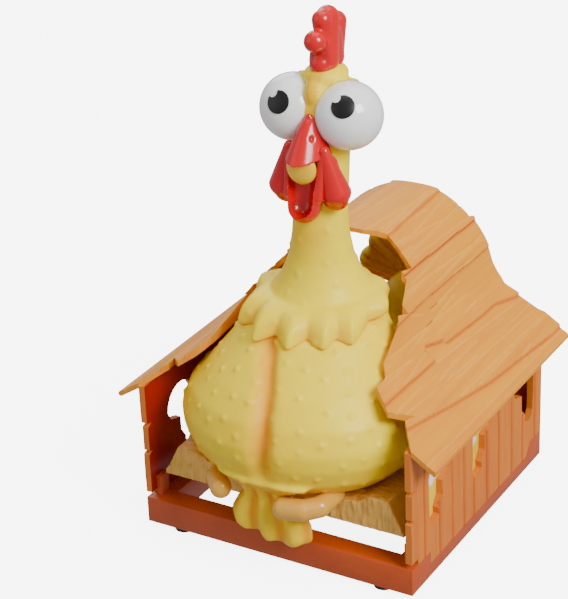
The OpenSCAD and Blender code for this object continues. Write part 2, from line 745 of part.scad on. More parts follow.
// Hook on a pivot that swings over the plunger's peg and holds the chicken down
module latch_lever() {
    x0 = -cheek_x + 1.6;
    x1 = -pinion_w / 2 - 1.2;
    hold_z = peg_z - travel + 3.4;                  // the latched hook's underside, just above the peg
    nose = [for (p = [[2.4, 0], [2.5, 2], [4.2, 2.1], [4.8, 3.2]])
        released([rack_back_y + p[0], hold_z + p[1]])];
    heel = released([shaft_y - 4.5, hold_z]);
    back_y = shaft_y + 7;
    top_z = nose[0][1] + 3;
    color("orange") difference() {
        union() {
            translate([x0, latch_y, latch_z]) rotate([0, 90, 0])
                cylinder(d = latch_pin_d + 3.4, h = x1 - x0);
            extrude_x(x0, x1) polygon([
                [latch_y + 2.6, latch_z], [back_y, latch_z + 6], [back_y, top_z - 2], [back_y - 2, top_z],
                [nose[3][0] + 1, top_z], nose[3], nose[2], nose[1], nose[0], heel, [shaft_y - 4, shaft_z - 3],
                [latch_y - 2.6, latch_z]]);
        }
        translate([x0 - 1, latch_y, latch_z]) rotate([0, 90, 0])
            cylinder(r = latch_pin_d / 2 + run_gap, h = 20);
        translate([x0 - 1, 0, 0]) hull() for (c = [[shaft_y, shaft_z], released([shaft_y, shaft_z])])
            translate([0, c[0], c[1]]) rotate([0, 90, 0]) cylinder(d = shaft_d + 0.8, h = 20);
    }
}

// ---------------------------------------------------------------- chicken

module belly_solid(grow) {
    loft([for (s = belly_sections) belly_ring(s[0], grow)]);
}

// Back that narrows from the belly to the tail stem; with an inset, its hollow, which stops before the stem
module back_solid(inset) {
    body = [for (s = back_sections) oval_y(s[0], s[1] * belly_a - inset, s[2] + inset, s[3] - inset)];
    stem = [for (y = [rear_y - 12, rear_y + 5.5]) oval_y(y, stem_r, stem_z0, stem_z1)];
    loft(inset > 0 ? body : concat(body, stem));
}

// Fluted tuft of feathers that hangs from the breast in front of the base frame
module tuft() {
    back_y = -half_d - 0.8;
    r = 5;
    for (i = [-2 : 2]) {
        x = 2 + i * 8;
        z0 = tuft_z0 + (i == -2 ? 4 : i == 2 ? 1 : 0);
        translate([x, back_y - r - 0.2, z0 + r * 0.6]) {
            cylinder(r = r, h = perch_top - tuft_z0 + 4, $fn = 20);
            sphere(r * 0.99, $fn = 20);
        }
    }
}

module body_skin() {
    color("gold") difference() {
        union() {
            belly_solid(0);
            back_solid(0);
            tuft();
        }
        intersection() {
            belly_solid(-skin_t);
            box([-big, -big, belly_z + skin_t], [big, big, belly_z + belly_h - skin_t]);
        }
        back_solid(skin_t);
        translate([0, neck_y, belly_z + belly_h - 8]) cylinder(r = 9.4, h = 20);
        for (a = [45 : 90 : 315]) translate([core_screw_r * cos(a), core_y + core_screw_r * sin(a), 0])
            cylinder(d = screw_d + 0.4, h = 60);
        translate([0, rear_y + 8, (stem_z0 + stem_z1) / 2]) rotate([90, 0, 0])
            cylinder(d = screw_d, h = 12);
        toe_room();
    }
}

// Space that the toes press into the tuft
module toe_room() {
    r = toe_d / 2 + 0.1;
    z = perch_top - 4;
    y1 = -half_d - 11.6;
    rod([30, y1, z], [12, y1, z], r);
    translate([12, y1, z]) sphere(r);
    rod([-30, y1, z], [-21, y1, z], r);
    translate([-21, y1, z]) sphere(r);
}

// Stiff inner post that carries the skin, the neck and the head
module body_core() {
    foot = [0, core_y, belly_z + skin_t + 0.1];
    collar = [0, neck_y, belly_z + belly_h - 8];
    knee = [0, neck_y, neck_z - 14];
    color("lightgray") difference() {
        union() {
            translate(foot) cylinder(r = 19, h = 3);
            rod(foot + [0, 0, 1], collar, 7);
            translate(collar) sphere(r = 7.8);
            rod(collar, knee, 7);
            translate([0, neck_y, belly_z + belly_h - skin_t - 3.2]) cylinder(r = 12, h = 3);
            translate(knee) sphere(r = 7.8);
            rod(knee, [0, head_y(eye_z - eye_r - 4), eye_z - eye_r - 4], 6);
        }
        for (a = [45 : 90 : 315]) translate([core_screw_r * cos(a), core_y + core_screw_r * sin(a), 0])
            cylinder(d = screw_d, h = belly_z + 12);
    }
}

module core_screws() {
    color("silver") for (a = [45 : 90 : 315])
        translate([core_screw_r * cos(a), core_y + core_screw_r * sin(a), perch_z + 1.2])
            screw(1.8, belly_z - perch_z + skin_t);
}

// Height of the cape's lower edge around the neck, with its feather points
function cape_edge(a) =
    let (front = pow(max(0, -sin(a)), 1.2), tip = abs(sin(cape_points * (a + 90) / 2)))
    mix(0.93, 0.83, front) + 0.06 * tip;

module neck_cape() {
    count = 66;
    angles = [for (i = [0 : count - 1]) 360 * i / count];
    bore = neck_r - skin_t;
    column = [[crown_z - 1, 0.55], [crown_z - 4, 0.86], [crown_z - 9, 1], [neck_z + 10, 1],
        [neck_z, 1.02],
        [neck_z - 7, 1.06], [neck_z - 16, 1.2], [neck_z - 21, 1.36], [neck_z - 26, 1.6],
            [neck_z - 32, 1.95]];
    outer = [for (c = column) [for (a = angles)
        [neck_r * c[1] * cos(a), head_y(c[0]) + neck_r * c[1] * sin(a), c[0]]]];
    edge = function(grow, rise) [for (a = angles)
        let (t = cape_edge(a), s = belly_at(t))
        [(s[0] * belly_a + grow) * cos(a), belly_y + s[2] + (s[1] * belly_b + grow) * sin(a),
            belly_z + t * belly_h + rise]];
    mid = function(grow, rise) [for (a = angles)
        let (t = mix(cape_edge(a), 1, 0.5), s = belly_at(t))
        [(s[0] * belly_a + grow) * cos(a), belly_y + s[2] + (s[1] * belly_b + grow) * sin(a),
            belly_z + t * belly_h + rise]];
    inner_top = [for (z = [eye_z - eye_r - 3, neck_z - 14, belly_z + belly_h + 4]) [for (a = angles)
        [bore * cos(a), head_y(z) + bore * sin(a), z]]];
    color("gold") difference() {
        loft(concat(inner_top, [[for (a = angles) let (s = belly_at(1))
            [s[0] * belly_a * cos(a), belly_y + s[2] + s[1] * belly_b * sin(a), belly_z + belly_h + 1]]],
            [mid(cape_gap + 0.4, 0.8)], [edge(cape_gap, 0)], [edge(cape_gap + 2.6, 1.2)],
            [mid(cape_gap + 3, 3)],
            [for (i = [len(outer) - 1 : -1 : 0]) outer[i]]));
        for (s = [-1, 1]) intersection() {
            translate([s * eye_x, eye_y, eye_z]) sphere(eye_r + 0.1);
            box([min(s * 1.1, s * 50), -big, 0], [max(s * 1.1, s * 50), big, 300]);
        }
    }
}

// Ball cut flat beside the ridge between the eyes
module eye() {
    color("white") intersection() {
        translate([-eye_x, eye_y, eye_z]) sphere(eye_r);
        box([-50, -big, 0], [-1.25, big, 300]);
    }
}

module left_eye() {
    eye();
}

module right_eye() {
    mirror([1, 0, 0]) eye();
}

// Black disc on the eye, facing along gaze
module pupil(side, gaze) {
    c = [side * eye_x, eye_y, eye_z];
    color("black") intersection() {
        difference() {
            translate(c) sphere(eye_r + 0.4);
            translate(c) sphere(eye_r + 0.02);
        }
        rod(c, c + 2 * eye_r * gaze, pupil_d / 2);
    }
}

module left_pupil() {
    pupil(-1, [0, -0.9, 0.436]);
}

module right_pupil() {
    pupil(1, [0.24, -0.785, 0.571]);
}

module comb() {
    r = comb_t / 2;
    z = crown_z - 1;
    y = crown_y;
    color("crimson") difference() {
        union() {
            hull() {
                translate([0, y - 6, z + 1]) sphere(r, $fn = 20);
                translate([0, y + 8, z + 1]) sphere(r, $fn = 20);
                translate([0, y + 2, z + comb_h - r + 1]) sphere(r * 0.94, $fn = 20);
            }
            hull() {
                translate([0, y - 5, z + 2]) sphere(r * 0.9, $fn = 20);
                translate([0, y - 9, z + 12]) sphere(r, $fn = 20);
            }
            hull() {
                translate([0, y + 7, z + 4]) sphere(r, $fn = 20);
                translate([0, y + 10.5, z + 16]) sphere(r * 0.9, $fn = 20);
            }
        }
        translate([-20, -40, 0]) cube([40, 80, z + 0.05]);
    }
}

// Clears the head column and both eyes out of a piece that sits against them
module off_the_head() {
    difference() {
        children();
        rod([0, head_y(neck_z), neck_z], [0, crown_y, crown_z], neck_r + 0.1);
        for (s = [-1, 1]) translate([s * eye_x, eye_y, eye_z]) sphere(eye_r + 0.1);
    }
}

module upper_beak() {
    color("crimson") off_the_head() hull() {
        translate([0, beak_y - 1, eye_z - 1]) sphere(3, $fn = 16);
        for (s = [-1, 1]) translate([s * 7.5, beak_y - 2, eye_z - 17.5]) sphere(2.6, $fn = 16);
        translate([0, beak_y - 19, eye_z - 17]) sphere(2.4, $fn = 16);
        translate([0, beak_y - 14, eye_z - 10]) sphere(3, $fn = 16);
    }
}

module tongue() {
    color("gold") off_the_head() hull() {
        translate([0, beak_y - 6, eye_z - 25]) sphere(5, $fn = 16);
        translate([0, beak_y + 1, eye_z - 24.6]) sphere(4.6, $fn = 16);
    }
}

module lower_beak() {
    color("crimson") difference() {
        off_the_head() hull() {
            for (s = [-1, 1]) translate([s * 7, beak_y - 1.5, eye_z - 24]) sphere(2.4, $fn = 16);
            translate([0, beak_y - 8, eye_z - 31]) sphere(4.6, $fn = 16);
            translate([0, beak_y - 7, eye_z - 40]) sphere(4.4, $fn = 16);
            translate([0, beak_y, eye_z - 41]) sphere(3.4, $fn = 16);
        }
        hull() {
            translate([0, beak_y - 6, eye_z - 25]) sphere(5.1, $fn = 16);
            translate([0, beak_y + 1, eye_z - 24.6]) sphere(4.7, $fn = 16);
        }
        hull() {
            for (s = [-1, 1]) translate([s * 7.5, beak_y - 2, eye_z - 17.5]) sphere(2.7, $fn = 16);
            translate([0, beak_y - 19, eye_z - 17]) sphere(2.5, $fn = 16);
        }
    }
}

module wattle(side) {
    color("crimson") off_the_head() hull() {
        translate([side * 12.2, beak_y + 1.4, eye_z - 19]) sphere(2, $fn = 16);
        translate([side * 13.4, beak_y + 0.6, eye_z - 33]) sphere(4.3, $fn = 16);
    }
}

module left_wattle() {
    wattle(-1);
}

module right_wattle() {
    wattle(1);
}

// Fan of rounded lobes that plugs on the tail stem behind the rear wall
module tail_fan() {
    hub = [0, half_d + tail_out - 7.5, (stem_z0 + stem_z1) / 2 - 1];
    lobe_r = 7;
    color("gold") difference() {
        union() {
            for (i = [0 : fan_lobes - 1]) {
                a = -78 + 156 * i / (fan_lobes - 1);
                hull() {
                    translate(hub) sphere(lobe_r, $fn = 20);
                    translate(hub + (fan_r - lobe_r) * [sin(a), 0, cos(a)]) sphere(lobe_r, $fn = 20);
                }
            }
        }
        box([-big, -big, -big], [big, rear_y + 5.5 + 0.02, big]);
        translate([0, half_d + tail_out + 1, (stem_z0 + stem_z1) / 2]) rotate([90, 0, 0]) {
            cylinder(d = screw_d + 0.4, h = 30);
            cylinder(d = screw_head_d + 0.6, h = 8.7);
        }
    }
}

module tail_screw() {
    color("silver") translate([0, half_d + tail_out - 6, (stem_z0 + stem_z1) / 2]) rotate([90, 0, 0])
        screw(1.6, 13);
}

// ---------------------------------------------------------------- nodes

base_frame();
rubber_feet();
left_wall();
right_wall();
rear_wall();
roof();
window_card();
mechanism_tray();
tray_screws();
guide_posts();
gearbox_left();
gearbox_right();
gearbox_bolts();
cheek_screws();
latch_pin();
reed_box();
squawk_bellows();
return_springs();
perch_platform();
post_bushes();
toes();
plunger_rack();
plunger_screws();
body_core();
core_screws();
body_skin();
neck_cape();
left_eye();
right_eye();
left_pupil();
right_pupil();
comb();
upper_beak();
lower_beak();
tongue();
left_wattle();
right_wattle();
tail_fan();
tail_screw();
cam_shaft();
pinion_gear();
timing_cam();
latch_lever();
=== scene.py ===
"""Looks of the press-down hopping chicken in its hen house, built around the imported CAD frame."""

import logging
import math
import random
from dataclasses import dataclass
from enum import Enum
from typing import Callable, Sequence

import bpy
import numpy as np
from mathutils import Matrix, Vector, noise


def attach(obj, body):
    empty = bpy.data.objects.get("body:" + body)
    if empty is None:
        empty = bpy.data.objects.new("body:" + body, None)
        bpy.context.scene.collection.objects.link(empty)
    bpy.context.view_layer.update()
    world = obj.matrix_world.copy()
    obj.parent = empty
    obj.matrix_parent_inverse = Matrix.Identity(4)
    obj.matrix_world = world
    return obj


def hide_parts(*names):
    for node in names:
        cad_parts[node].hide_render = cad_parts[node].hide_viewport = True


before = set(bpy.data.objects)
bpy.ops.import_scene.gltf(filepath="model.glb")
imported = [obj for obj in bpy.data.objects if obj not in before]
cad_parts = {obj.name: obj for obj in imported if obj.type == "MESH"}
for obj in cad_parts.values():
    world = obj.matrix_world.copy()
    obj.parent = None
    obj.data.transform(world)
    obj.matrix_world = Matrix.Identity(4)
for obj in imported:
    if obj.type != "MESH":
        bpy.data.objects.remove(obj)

LOG = logging.getLogger("hen_house")
MM = 0.001
Colour = tuple[int, int, int]
Point = tuple[float, float, float]
EYE: Point = (13.0, -14.6, 190.0)
EYE_R = 14.4


# ---------------------------------------------------------------- mesh bench


class Cut(Enum):
    """What a boolean does with the second piece."""

    REMOVE = "DIFFERENCE"
    KEEP_INSIDE = "INTERSECT"


class Mark(Enum):
    """Numbers that pieces store on their vertices for their finish: the shade mark is painted shade, except
    on the walls where it holds their dark board seams, and the line mark is a painted highlight along the
    roof's carved lines and on the perch's raised bark and straw.
    """

    SHADE = "shade"
    # painted highlight along carved lines and raised relief
    LINE = "line"


class Bench:
    """Mesh work that every sub-assembly uses; lengths are in millimetres."""

    @staticmethod
    def only(obj: bpy.types.Object) -> None:
        """Select one object alone and make it active.

        Args:
            obj: The piece.
        """
        bpy.ops.object.select_all(action="DESELECT")
        obj.select_set(True)
        bpy.context.view_layer.objects.active = obj

    @staticmethod
    def modify(obj: bpy.types.Object, kind: str, **settings: object) -> bpy.types.Object:
        """Add a modifier and apply it.

        Args:
            obj: Piece to change.
            kind: Modifier type.
            settings: Modifier properties.

        Returns:
            The same piece.
        """
        Bench.only(obj)
        modifier = obj.modifiers.new(kind.lower(), kind)
        for key, value in settings.items():
            setattr(modifier, key, value)
        bpy.ops.object.modifier_apply(modifier=modifier.name)
        return obj

    @staticmethod
    def places(obj: bpy.types.Object) -> np.ndarray:
        """Vertex places in millimetres, one row each.

        Args:
            obj: The piece.

        Returns:
            The places.
        """
        flat = np.zeros(len(obj.data.vertices) * 3)
        obj.data.vertices.foreach_get("co", flat)
        return flat.reshape(-1, 3) / MM

    @staticmethod
    def put(obj: bpy.types.Object, places: np.ndarray) -> None:
        """Write vertex places given in millimetres."""
        obj.data.vertices.foreach_set("co", (places * MM).ravel())
        obj.data.update()

    @staticmethod
    def normals(obj: bpy.types.Object) -> np.ndarray:
        """Vertex normals, one row each.

        Args:
            obj: The piece.

        Returns:
            The normals.
        """
        flat = np.zeros(len(obj.data.vertices) * 3, np.float32)
        obj.data.vertex_normals.foreach_get("vector", flat)
        return flat.reshape(-1, 3).astype(float)

    @staticmethod
    def mark(obj: bpy.types.Object, kind: Mark, values: np.ndarray) -> None:
        """Store one number per vertex for the piece's material.

        Args:
            obj: The piece.
            kind: Which number it is.
            values: One value per vertex, from 0 to 1.
        """
        layers = obj.data.attributes
        layer = layers.get(kind.value) or layers.new(kind.value, "FLOAT", "POINT")
        layer.data.foreach_set("value", np.clip(values, 0, 1).astype(np.float32))

    @staticmethod
    def edit(obj: bpy.types.Object, *steps: Callable[[], object]) -> None:
        """Run edit-mode operators on everything in a piece.

        Args:
            obj: The piece.
            steps: Operators to run, in order.
        """
        Bench.only(obj)
        bpy.ops.object.mode_set(mode="EDIT")
        bpy.ops.mesh.select_all(action="SELECT")
        for step in steps:
            step()
        bpy.ops.object.mode_set(mode="OBJECT")

    @staticmethod
    def clean(obj: bpy.types.Object, reach: float = 0.002) -> bpy.types.Object:
        """Weld doubled vertices and turn every face outwards.

        Args:
            obj: The piece.
            reach: Vertices nearer than this are welded.

        Returns:
            The same piece.
        """
        Bench.edit(
            obj,
            lambda: bpy.ops.mesh.remove_doubles(threshold=reach * MM),
            lambda: bpy.ops.mesh.dissolve_degenerate(threshold=reach * MM / 2),
            lambda: bpy.ops.mesh.normals_make_consistent(inside=False),
        )
        return obj

    @staticmethod
    def close(obj: bpy.types.Object) -> bpy.types.Object:
        """Cap a tube's open ends and turn every face outwards.

        Args:
            obj: The tube.

        Returns:
            The same piece.
        """
        Bench.edit(
            obj,
            lambda: bpy.ops.mesh.fill_holes(sides=0),
            lambda: bpy.ops.mesh.normals_make_consistent(inside=False),
        )
        return obj

    @staticmethod
    def skin(
        name: str, around: int, along: int, surface: Callable[[np.ndarray, np.ndarray], np.ndarray]
    ) -> bpy.types.Object:
        """Bend a grid into a surface.

        Args:
            name: Piece name.
            around: Grid cells along u.
            along: Grid cells along v.
            surface: Gives places from u and v, both from 0 to 1.

        Returns:
            The new piece, welded where its edges meet.
        """
        bpy.ops.object.select_all(action="DESELECT")
        bpy.ops.mesh.primitive_grid_add(x_subdivisions=around, y_subdivisions=along, size=1)
        obj = bpy.context.object
        obj.name = obj.data.name = name
        flat = Bench.places(obj) * MM + 0.5
        Bench.put(obj, surface(flat[:, 0], flat[:, 1]))
        return Bench.clean(obj)

    @staticmethod
    def ball(centre: Point, radii: Point, segments: int = 32) -> bpy.types.Object:
        """An ellipsoid with its place in its mesh.

        Args:
            centre: Its middle.
            radii: Half sizes along X, Y and Z.
            segments: Faces round it.

        Returns:
            The new piece.
        """
        bpy.ops.object.select_all(action="DESELECT")
        bpy.ops.mesh.primitive_uv_sphere_add(segments=segments, ring_count=segments // 2 + 4, radius=1)
        obj = bpy.context.object
        Bench.put(obj, Bench.places(obj) * MM * np.array(radii) + np.array(centre))
        return obj

    @staticmethod
    def pod(start: Point, end: Point, r0: float, r1: float) -> bpy.types.Object:
        """A round-ended bar from one point to another.

        Args:
            start: Middle of the first end.
            end: Middle of the second end.
            r0: Radius at the start.
            r1: Radius at the end.

        Returns:
            The new piece.
        """
        obj = Bench.ball((0, 0, 0), (1, 1, 1), 28)
        a, b = np.array(start, float), np.array(end, float)
        turn = Vector(b - a).to_track_quat("Z", "Y").to_matrix()
        unit = Bench.places(obj)
        top = unit[:, 2] > 0
        turned = unit @ np.array(turn).T
        Bench.put(obj, np.where(top[:, None], b + r1 * turned, a + r0 * turned))
        return obj

    @staticmethod
    def rod(start: Point, end: Point, radius: float, sides: int = 64) -> bpy.types.Object:
        """A cylinder from one point to another.

        Args:
            start: Middle of the first end.
            end: Middle of the second end.
            radius: Its radius.
            sides: Faces round it.

        Returns:
            The new piece.
        """
        a, b = Vector(start), Vector(end)
        bpy.ops.object.select_all(action="DESELECT")
        bpy.ops.mesh.primitive_cylinder_add(vertices=sides, radius=radius, depth=(b - a).length)
        obj = bpy.context.object
        turn = np.array((b - a).to_track_quat("Z", "Y").to_matrix())
        Bench.put(obj, (Bench.places(obj) * MM) @ turn.T + np.array((a + b) / 2))
        return obj

    @staticmethod
    def merge(name: str, parts: Sequence[bpy.types.Object], voxel: float, smooth: int) -> bpy.types.Object:
        """Melt parts into one moulded skin.

        Args:
            name: Piece name.
            parts: Closed meshes that overlap.
            voxel: Size of the remesh cells.
            smooth: Passes of smoothing.

        Returns:
            The melted piece.
        """
        Bench.only(parts[0])
        for part in parts:
            part.select_set(True)
        if len(parts) > 1:
            bpy.ops.object.join()
        obj = parts[0]
        obj.name = obj.data.name = name
        Bench.modify(obj, "REMESH", mode="VOXEL", voxel_size=voxel * MM, adaptivity=0)
        if smooth:
            Bench.modify(obj, "SMOOTH", factor=0.5, iterations=smooth)
        return Bench.soft(obj)

    @staticmethod
    def soft(obj: bpy.types.Object, angle: float = 180) -> bpy.types.Object:
        """Shade smooth, with edges sharper than the angle left crisp.

        Args:
            obj: The piece.
            angle: Sharper edges stay crisp, in degrees.

        Returns:
            The same piece.
        """
        Bench.only(obj)
        if angle >= 180:
            bpy.ops.object.shade_smooth()
        else:
            bpy.ops.object.shade_smooth_by_angle(angle=math.radians(angle))
        return obj

    @staticmethod
    def cut(obj: bpy.types.Object, tool: bpy.types.Object, how: Cut) -> bpy.types.Object:
        """Combine a piece with a tool mesh that is used up.

        Args:
            obj: The piece.
            tool: The tool mesh.
            how: What the tool does.

        Returns:
            The same piece.
        """
        Bench.modify(obj, "BOOLEAN", object=tool, operation=how.value, solver="MANIFOLD")
        bpy.data.objects.remove(tool)
        return obj

    @staticmethod
    def copy(name: str, node: str) -> bpy.types.Object:
        """A loose, welded copy of a CAD node's mesh.

        Args:
            name: Piece name.
            node: CAD node to copy.

        Returns:
            The copy.
        """
        obj = bpy.data.objects.new(name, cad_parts[node].data.copy())
        bpy.context.scene.collection.objects.link(obj)
        obj.data.materials.clear()
        Bench.only(obj)
        bpy.ops.mesh.customdata_custom_splitnormals_clear()
        return Bench.clean(obj, 0.004)

    @staticmethod
    def refined(name: str, node: str, bevel: float) -> bpy.types.Object:
        """A CAD node's shape with softened moulded edges.

        Args:
            name: Piece name.
            node: CAD node to follow.
            bevel: Width of the edge rounding.

        Returns:
            The new piece.
        """
        crisp = 40
        obj = Bench.copy(name, node)
        Bench.edit(obj, lambda: bpy.ops.mesh.dissolve_limited(angle_limit=math.radians(2)))
        Bench.modify(
            obj, "BEVEL", width=bevel * MM, segments=2, limit_method="ANGLE",
            angle_limit=math.radians(crisp), use_clamp_overlap=True, harden_normals=False,
        )
        return Bench.soft(obj, crisp)

    @staticmethod
    def second_finish(obj: bpy.types.Object, direction: Point, least: float) -> None:
        """Give the faces that look along a direction the piece's second finish.

        Args:
            obj: The piece.
            direction: Unit direction.
            least: Least cosine between a face and the direction.
        """
        normals = np.zeros(len(obj.data.polygons) * 3, np.float32)
        obj.data.polygons.foreach_get("normal", normals)
        looks = normals.reshape(-1, 3) @ np.array(direction, np.float32) > least
        for _ in range(2):
            obj.data.materials.append(None)
        obj.data.polygons.foreach_set("material_index", looks.astype(np.int32))


def mixed(a: np.ndarray | float, b: np.ndarray | float, t: np.ndarray | float) -> np.ndarray | float:
    """Straight blend from a to b."""
    return a * (1 - t) + b * t


def bell(distance: np.ndarray, width: float) -> np.ndarray:
    """A soft bump that is 1 at distance 0."""
    return np.exp(-((distance / width) ** 2))


def step(low: float, high: float, value: np.ndarray) -> np.ndarray:
    """Smooth rise from 0 at low to 1 at high."""
    t = np.clip((value - low) / (high - low), 0, 1)
    return t * t * (3 - 2 * t)


def cloud(places: np.ndarray, scale: Point, seed: float = 0) -> np.ndarray:
    """Perlin noise at places in millimetres, stretched by a scale per axis.

    Args:
        places: Where it is read.
        scale: Stretch per axis.
        seed: Shift along X.

    Returns:
        One value per place.
    """
    stretched = places * np.array(scale) + np.array((seed, 0, 0))
    return np.array([noise.noise(Vector(place)) for place in stretched])


# ---------------------------------------------------------------- shader bench


class Wire:
    """A shader value that Python's operators turn into Math nodes."""

    def __init__(self, graph: "Graph", socket: bpy.types.NodeSocket) -> None:
        """Hold a socket of a graph."""
        self.graph, self.socket = graph, socket

    def math(self, operation: str, other: "Wire | float", flip: bool = False) -> "Wire":
        """One Math node with this value and another.

        Args:
            operation: Math node operation.
            other: Second operand.
            flip: True puts the other operand first.

        Returns:
            The result.
        """
        pair = [other, self] if flip else [self, other]
        return self.graph.node("ShaderNodeMath", {"operation": operation}, {0: pair[0], 1: pair[1]})[0]

    def __add__(self, other: "Wire | float") -> "Wire":
        """Sum."""
        return self.math("ADD", other)

    __radd__ = __add__

    def __sub__(self, other: "Wire | float") -> "Wire":
        """Difference."""
        return self.math("SUBTRACT", other)

    def __rsub__(self, other: "Wire | float") -> "Wire":
        """Reflected difference."""
        return self.math("SUBTRACT", other, flip=True)

    def __mul__(self, other: "Wire | float") -> "Wire":
        """Product."""
        return self.math("MULTIPLY", other)

    __rmul__ = __mul__


class Graph:
    """A material's node tree and the few ways that this scene adds to it."""

    def __init__(self, name: str) -> None:
        """Make an empty material with one principled shader.

        Args:
            name: Material name.
        """
        self.material = bpy.data.materials.new(name)
        self.material.use_nodes = True
        self.tree = self.material.node_tree
        self.shader = self.tree.nodes["Principled BSDF"]

    def node(
        self, kind: str, settings: dict[str, object], sockets: dict[int | str, object]
    ) -> list[Wire]:
        """Add a node.

        Args:
            kind: Node type.
            settings: Node properties; "stops" holds a ramp's (place, colour) pairs.
            sockets: Input values or wires by index or name.

        Returns:
            The node's outputs.
        """
        made = self.tree.nodes.new(kind)
        for key, value in settings.items():
            if key == "stops":
                ramp = made.color_ramp
                while len(ramp.elements) < len(value):
                    ramp.elements.new(0.5)
                for element, (place, colour) in zip(ramp.elements, value):
                    element.position, element.color = place, colour
            else:
                setattr(made, key, value)
        for key, value in sockets.items():
            self.feed(made.inputs[key], value)
        return [Wire(self, out) for out in made.outputs]

    def feed(self, socket: bpy.types.NodeSocket, value: object) -> None:
        """Link a wire to a socket, or set the socket's own value.

        Args:
            socket: Input to feed.
            value: A wire or a plain value.
        """
        if isinstance(value, Wire):
            self.tree.links.new(value.socket, socket)
        else:
            socket.default_value = value

    def set(self, **sockets: object) -> None:
        """Feed the shader's inputs, with _ for a space in their names."""
        for key, value in sockets.items():
            self.feed(self.shader.inputs[key.replace("_", " ")], value)

    def place(self, scale: Point = (1, 1, 1)) -> Wire:
        """Object coordinates in metres, stretched by a scale per axis."""
        here = self.node("ShaderNodeTexCoord", {}, {})[3]
        return self.node("ShaderNodeMapping", {}, {"Vector": here, "Scale": scale})[0]

    def noise(self, where: Wire, scale: float, detail: float = 3, rough: float = 0.55) -> Wire:
        """Noise value around 0.5."""
        return self.node(
            "ShaderNodeTexNoise", {}, {"Vector": where, "Scale": scale, "Detail": detail, "Roughness": rough}
        )[0]

    def mark(self, kind: Mark) -> Wire:
        """A number stored on the piece's vertices."""
        return self.node("ShaderNodeAttribute", {"attribute_name": kind.value}, {})[2]

    def blend(self, factor: Wire | float, a: object, b: object) -> Wire:
        """Mix two colours."""
        return self.node("ShaderNodeMix", {"data_type": "RGBA"}, {0: factor, 6: a, 7: b})[2]

    def bump(self, height: Wire, strength: float, depth: float) -> Wire:
        """A normal bent by a height, with its depth in millimetres."""
        sockets = {"Strength": strength, "Distance": depth * MM, "Height": height}
        return self.node("ShaderNodeBump", {}, sockets)[0]

    def ramp(self, value: Wire, low: float, high: float) -> Wire:
        """0 below low and 1 above high."""
        return self.node(
            "ShaderNodeMapRange", {"interpolation_type": "SMOOTHSTEP"},
            {"Value": value, "From Min": low, "From Max": high},
        )[0]


def linear(colour: Colour) -> tuple[float, float, float, float]:
    """Scene colour of a 0 to 255 display colour.

    Args:
        colour: Red, green and blue from 0 to 255.

    Returns:
        Linear red, green, blue and alpha.
    """
    def one(c: float) -> float:
        """One channel.

        Args:
            c: Display value from 0 to 255.

        Returns:
            Linear value.
        """
        c /= 255
        return c / 12.92 if c <= 0.04045 else ((c + 0.055) / 1.055) ** 2.4
    return (*(one(c) for c in colour), 1.0)


@dataclass(frozen=True)
class Moulded:
    """Moulded plastic, rubber or vinyl with a soft mottle and optional painted shade that blends towards the
    deep colour.
    """

    name: str
    colour: Colour
    deep: Colour
    roughness: float = 0.4
    mottle: float = 0.35
    scale: float = 60
    bump: float = 0.05
    glow: float = 0.0
    coat: float = 0.0
    mark: Mark | None = None
    shine: float = 0.5

    def material(self) -> bpy.types.Material:
        """Build the material.

        Returns:
            The material.
        """
        g = Graph(self.name)
        where = g.place()
        broad = g.noise(where, self.scale, 4)
        fine = g.noise(where, self.scale * 14, 3)
        colour = g.blend(g.ramp(broad, 0.3, 0.85) * self.mottle, linear(self.colour), linear(self.deep))
        # painted shade: the piece's shade mark blends the colour towards the deep colour
        if self.mark:
            colour = g.blend(g.mark(self.mark), colour, linear(self.deep))
        g.set(
            Base_Color=colour,
            Roughness=self.roughness * 0.8 + broad * (self.roughness * 0.4),
            Normal=g.bump(fine * 0.6 + broad * 0.4, 0.5, self.bump),
            Subsurface_Weight=self.glow,
            Subsurface_Radius=(1.0, 0.5, 0.15),
            Subsurface_Scale=2.5 * MM,
            Specular_IOR_Level=self.shine,
            Coat_Weight=self.coat,
            Coat_Roughness=0.08,
        )
        return g.material


@dataclass(frozen=True)
class Grained:
    """Plastic moulded like sawn boards: streaks along one axis, a painted highlight in the pale colour from
    the line mark, and painted shade from the shade mark.
    """

    name: str
    colour: Colour
    deep: Colour
    pale: Colour
    along: Point
    roughness: float = 0.45
    bump: float = 0.12

    def material(self) -> bpy.types.Material:
        """Build the material.

        Returns:
            The material.
        """
        g = Graph(self.name)
        stretched = g.place(self.along)
        broad = g.noise(g.place(), 24, 3)
        streak = g.noise(stretched, 900, 4, 0.6)
        wide = g.noise(stretched, 190, 3, 0.5)
        colour = g.blend(g.ramp(wide, 0.35, 0.8) * 0.4, linear(self.colour), linear(self.deep))
        colour = g.blend(g.ramp(streak, 0.56, 0.78) * 0.35, colour, linear(self.pale))
        colour = g.blend(g.ramp(broad, 0.4, 0.8) * 0.2, colour, linear(self.deep))
        # painted highlight in the pale colour along the line mark
        colour = g.blend(g.mark(Mark.LINE) * 0.3, colour, linear(self.pale))
        # painted shade towards the deep colour along the shade mark; on the walls it is their dark board
        # seams
        colour = g.blend(g.mark(Mark.SHADE) * 0.8, colour, linear(self.deep))
        g.set(
            Base_Color=colour,
            Roughness=self.roughness + streak * 0.12,
            Normal=g.bump(streak * 0.6 + wide * 0.4, 0.5, self.bump),
            Subsurface_Weight=0.08,
            Subsurface_Radius=(1.0, 0.4, 0.1),
            Subsurface_Scale=2 * MM,
        )
        return g.material


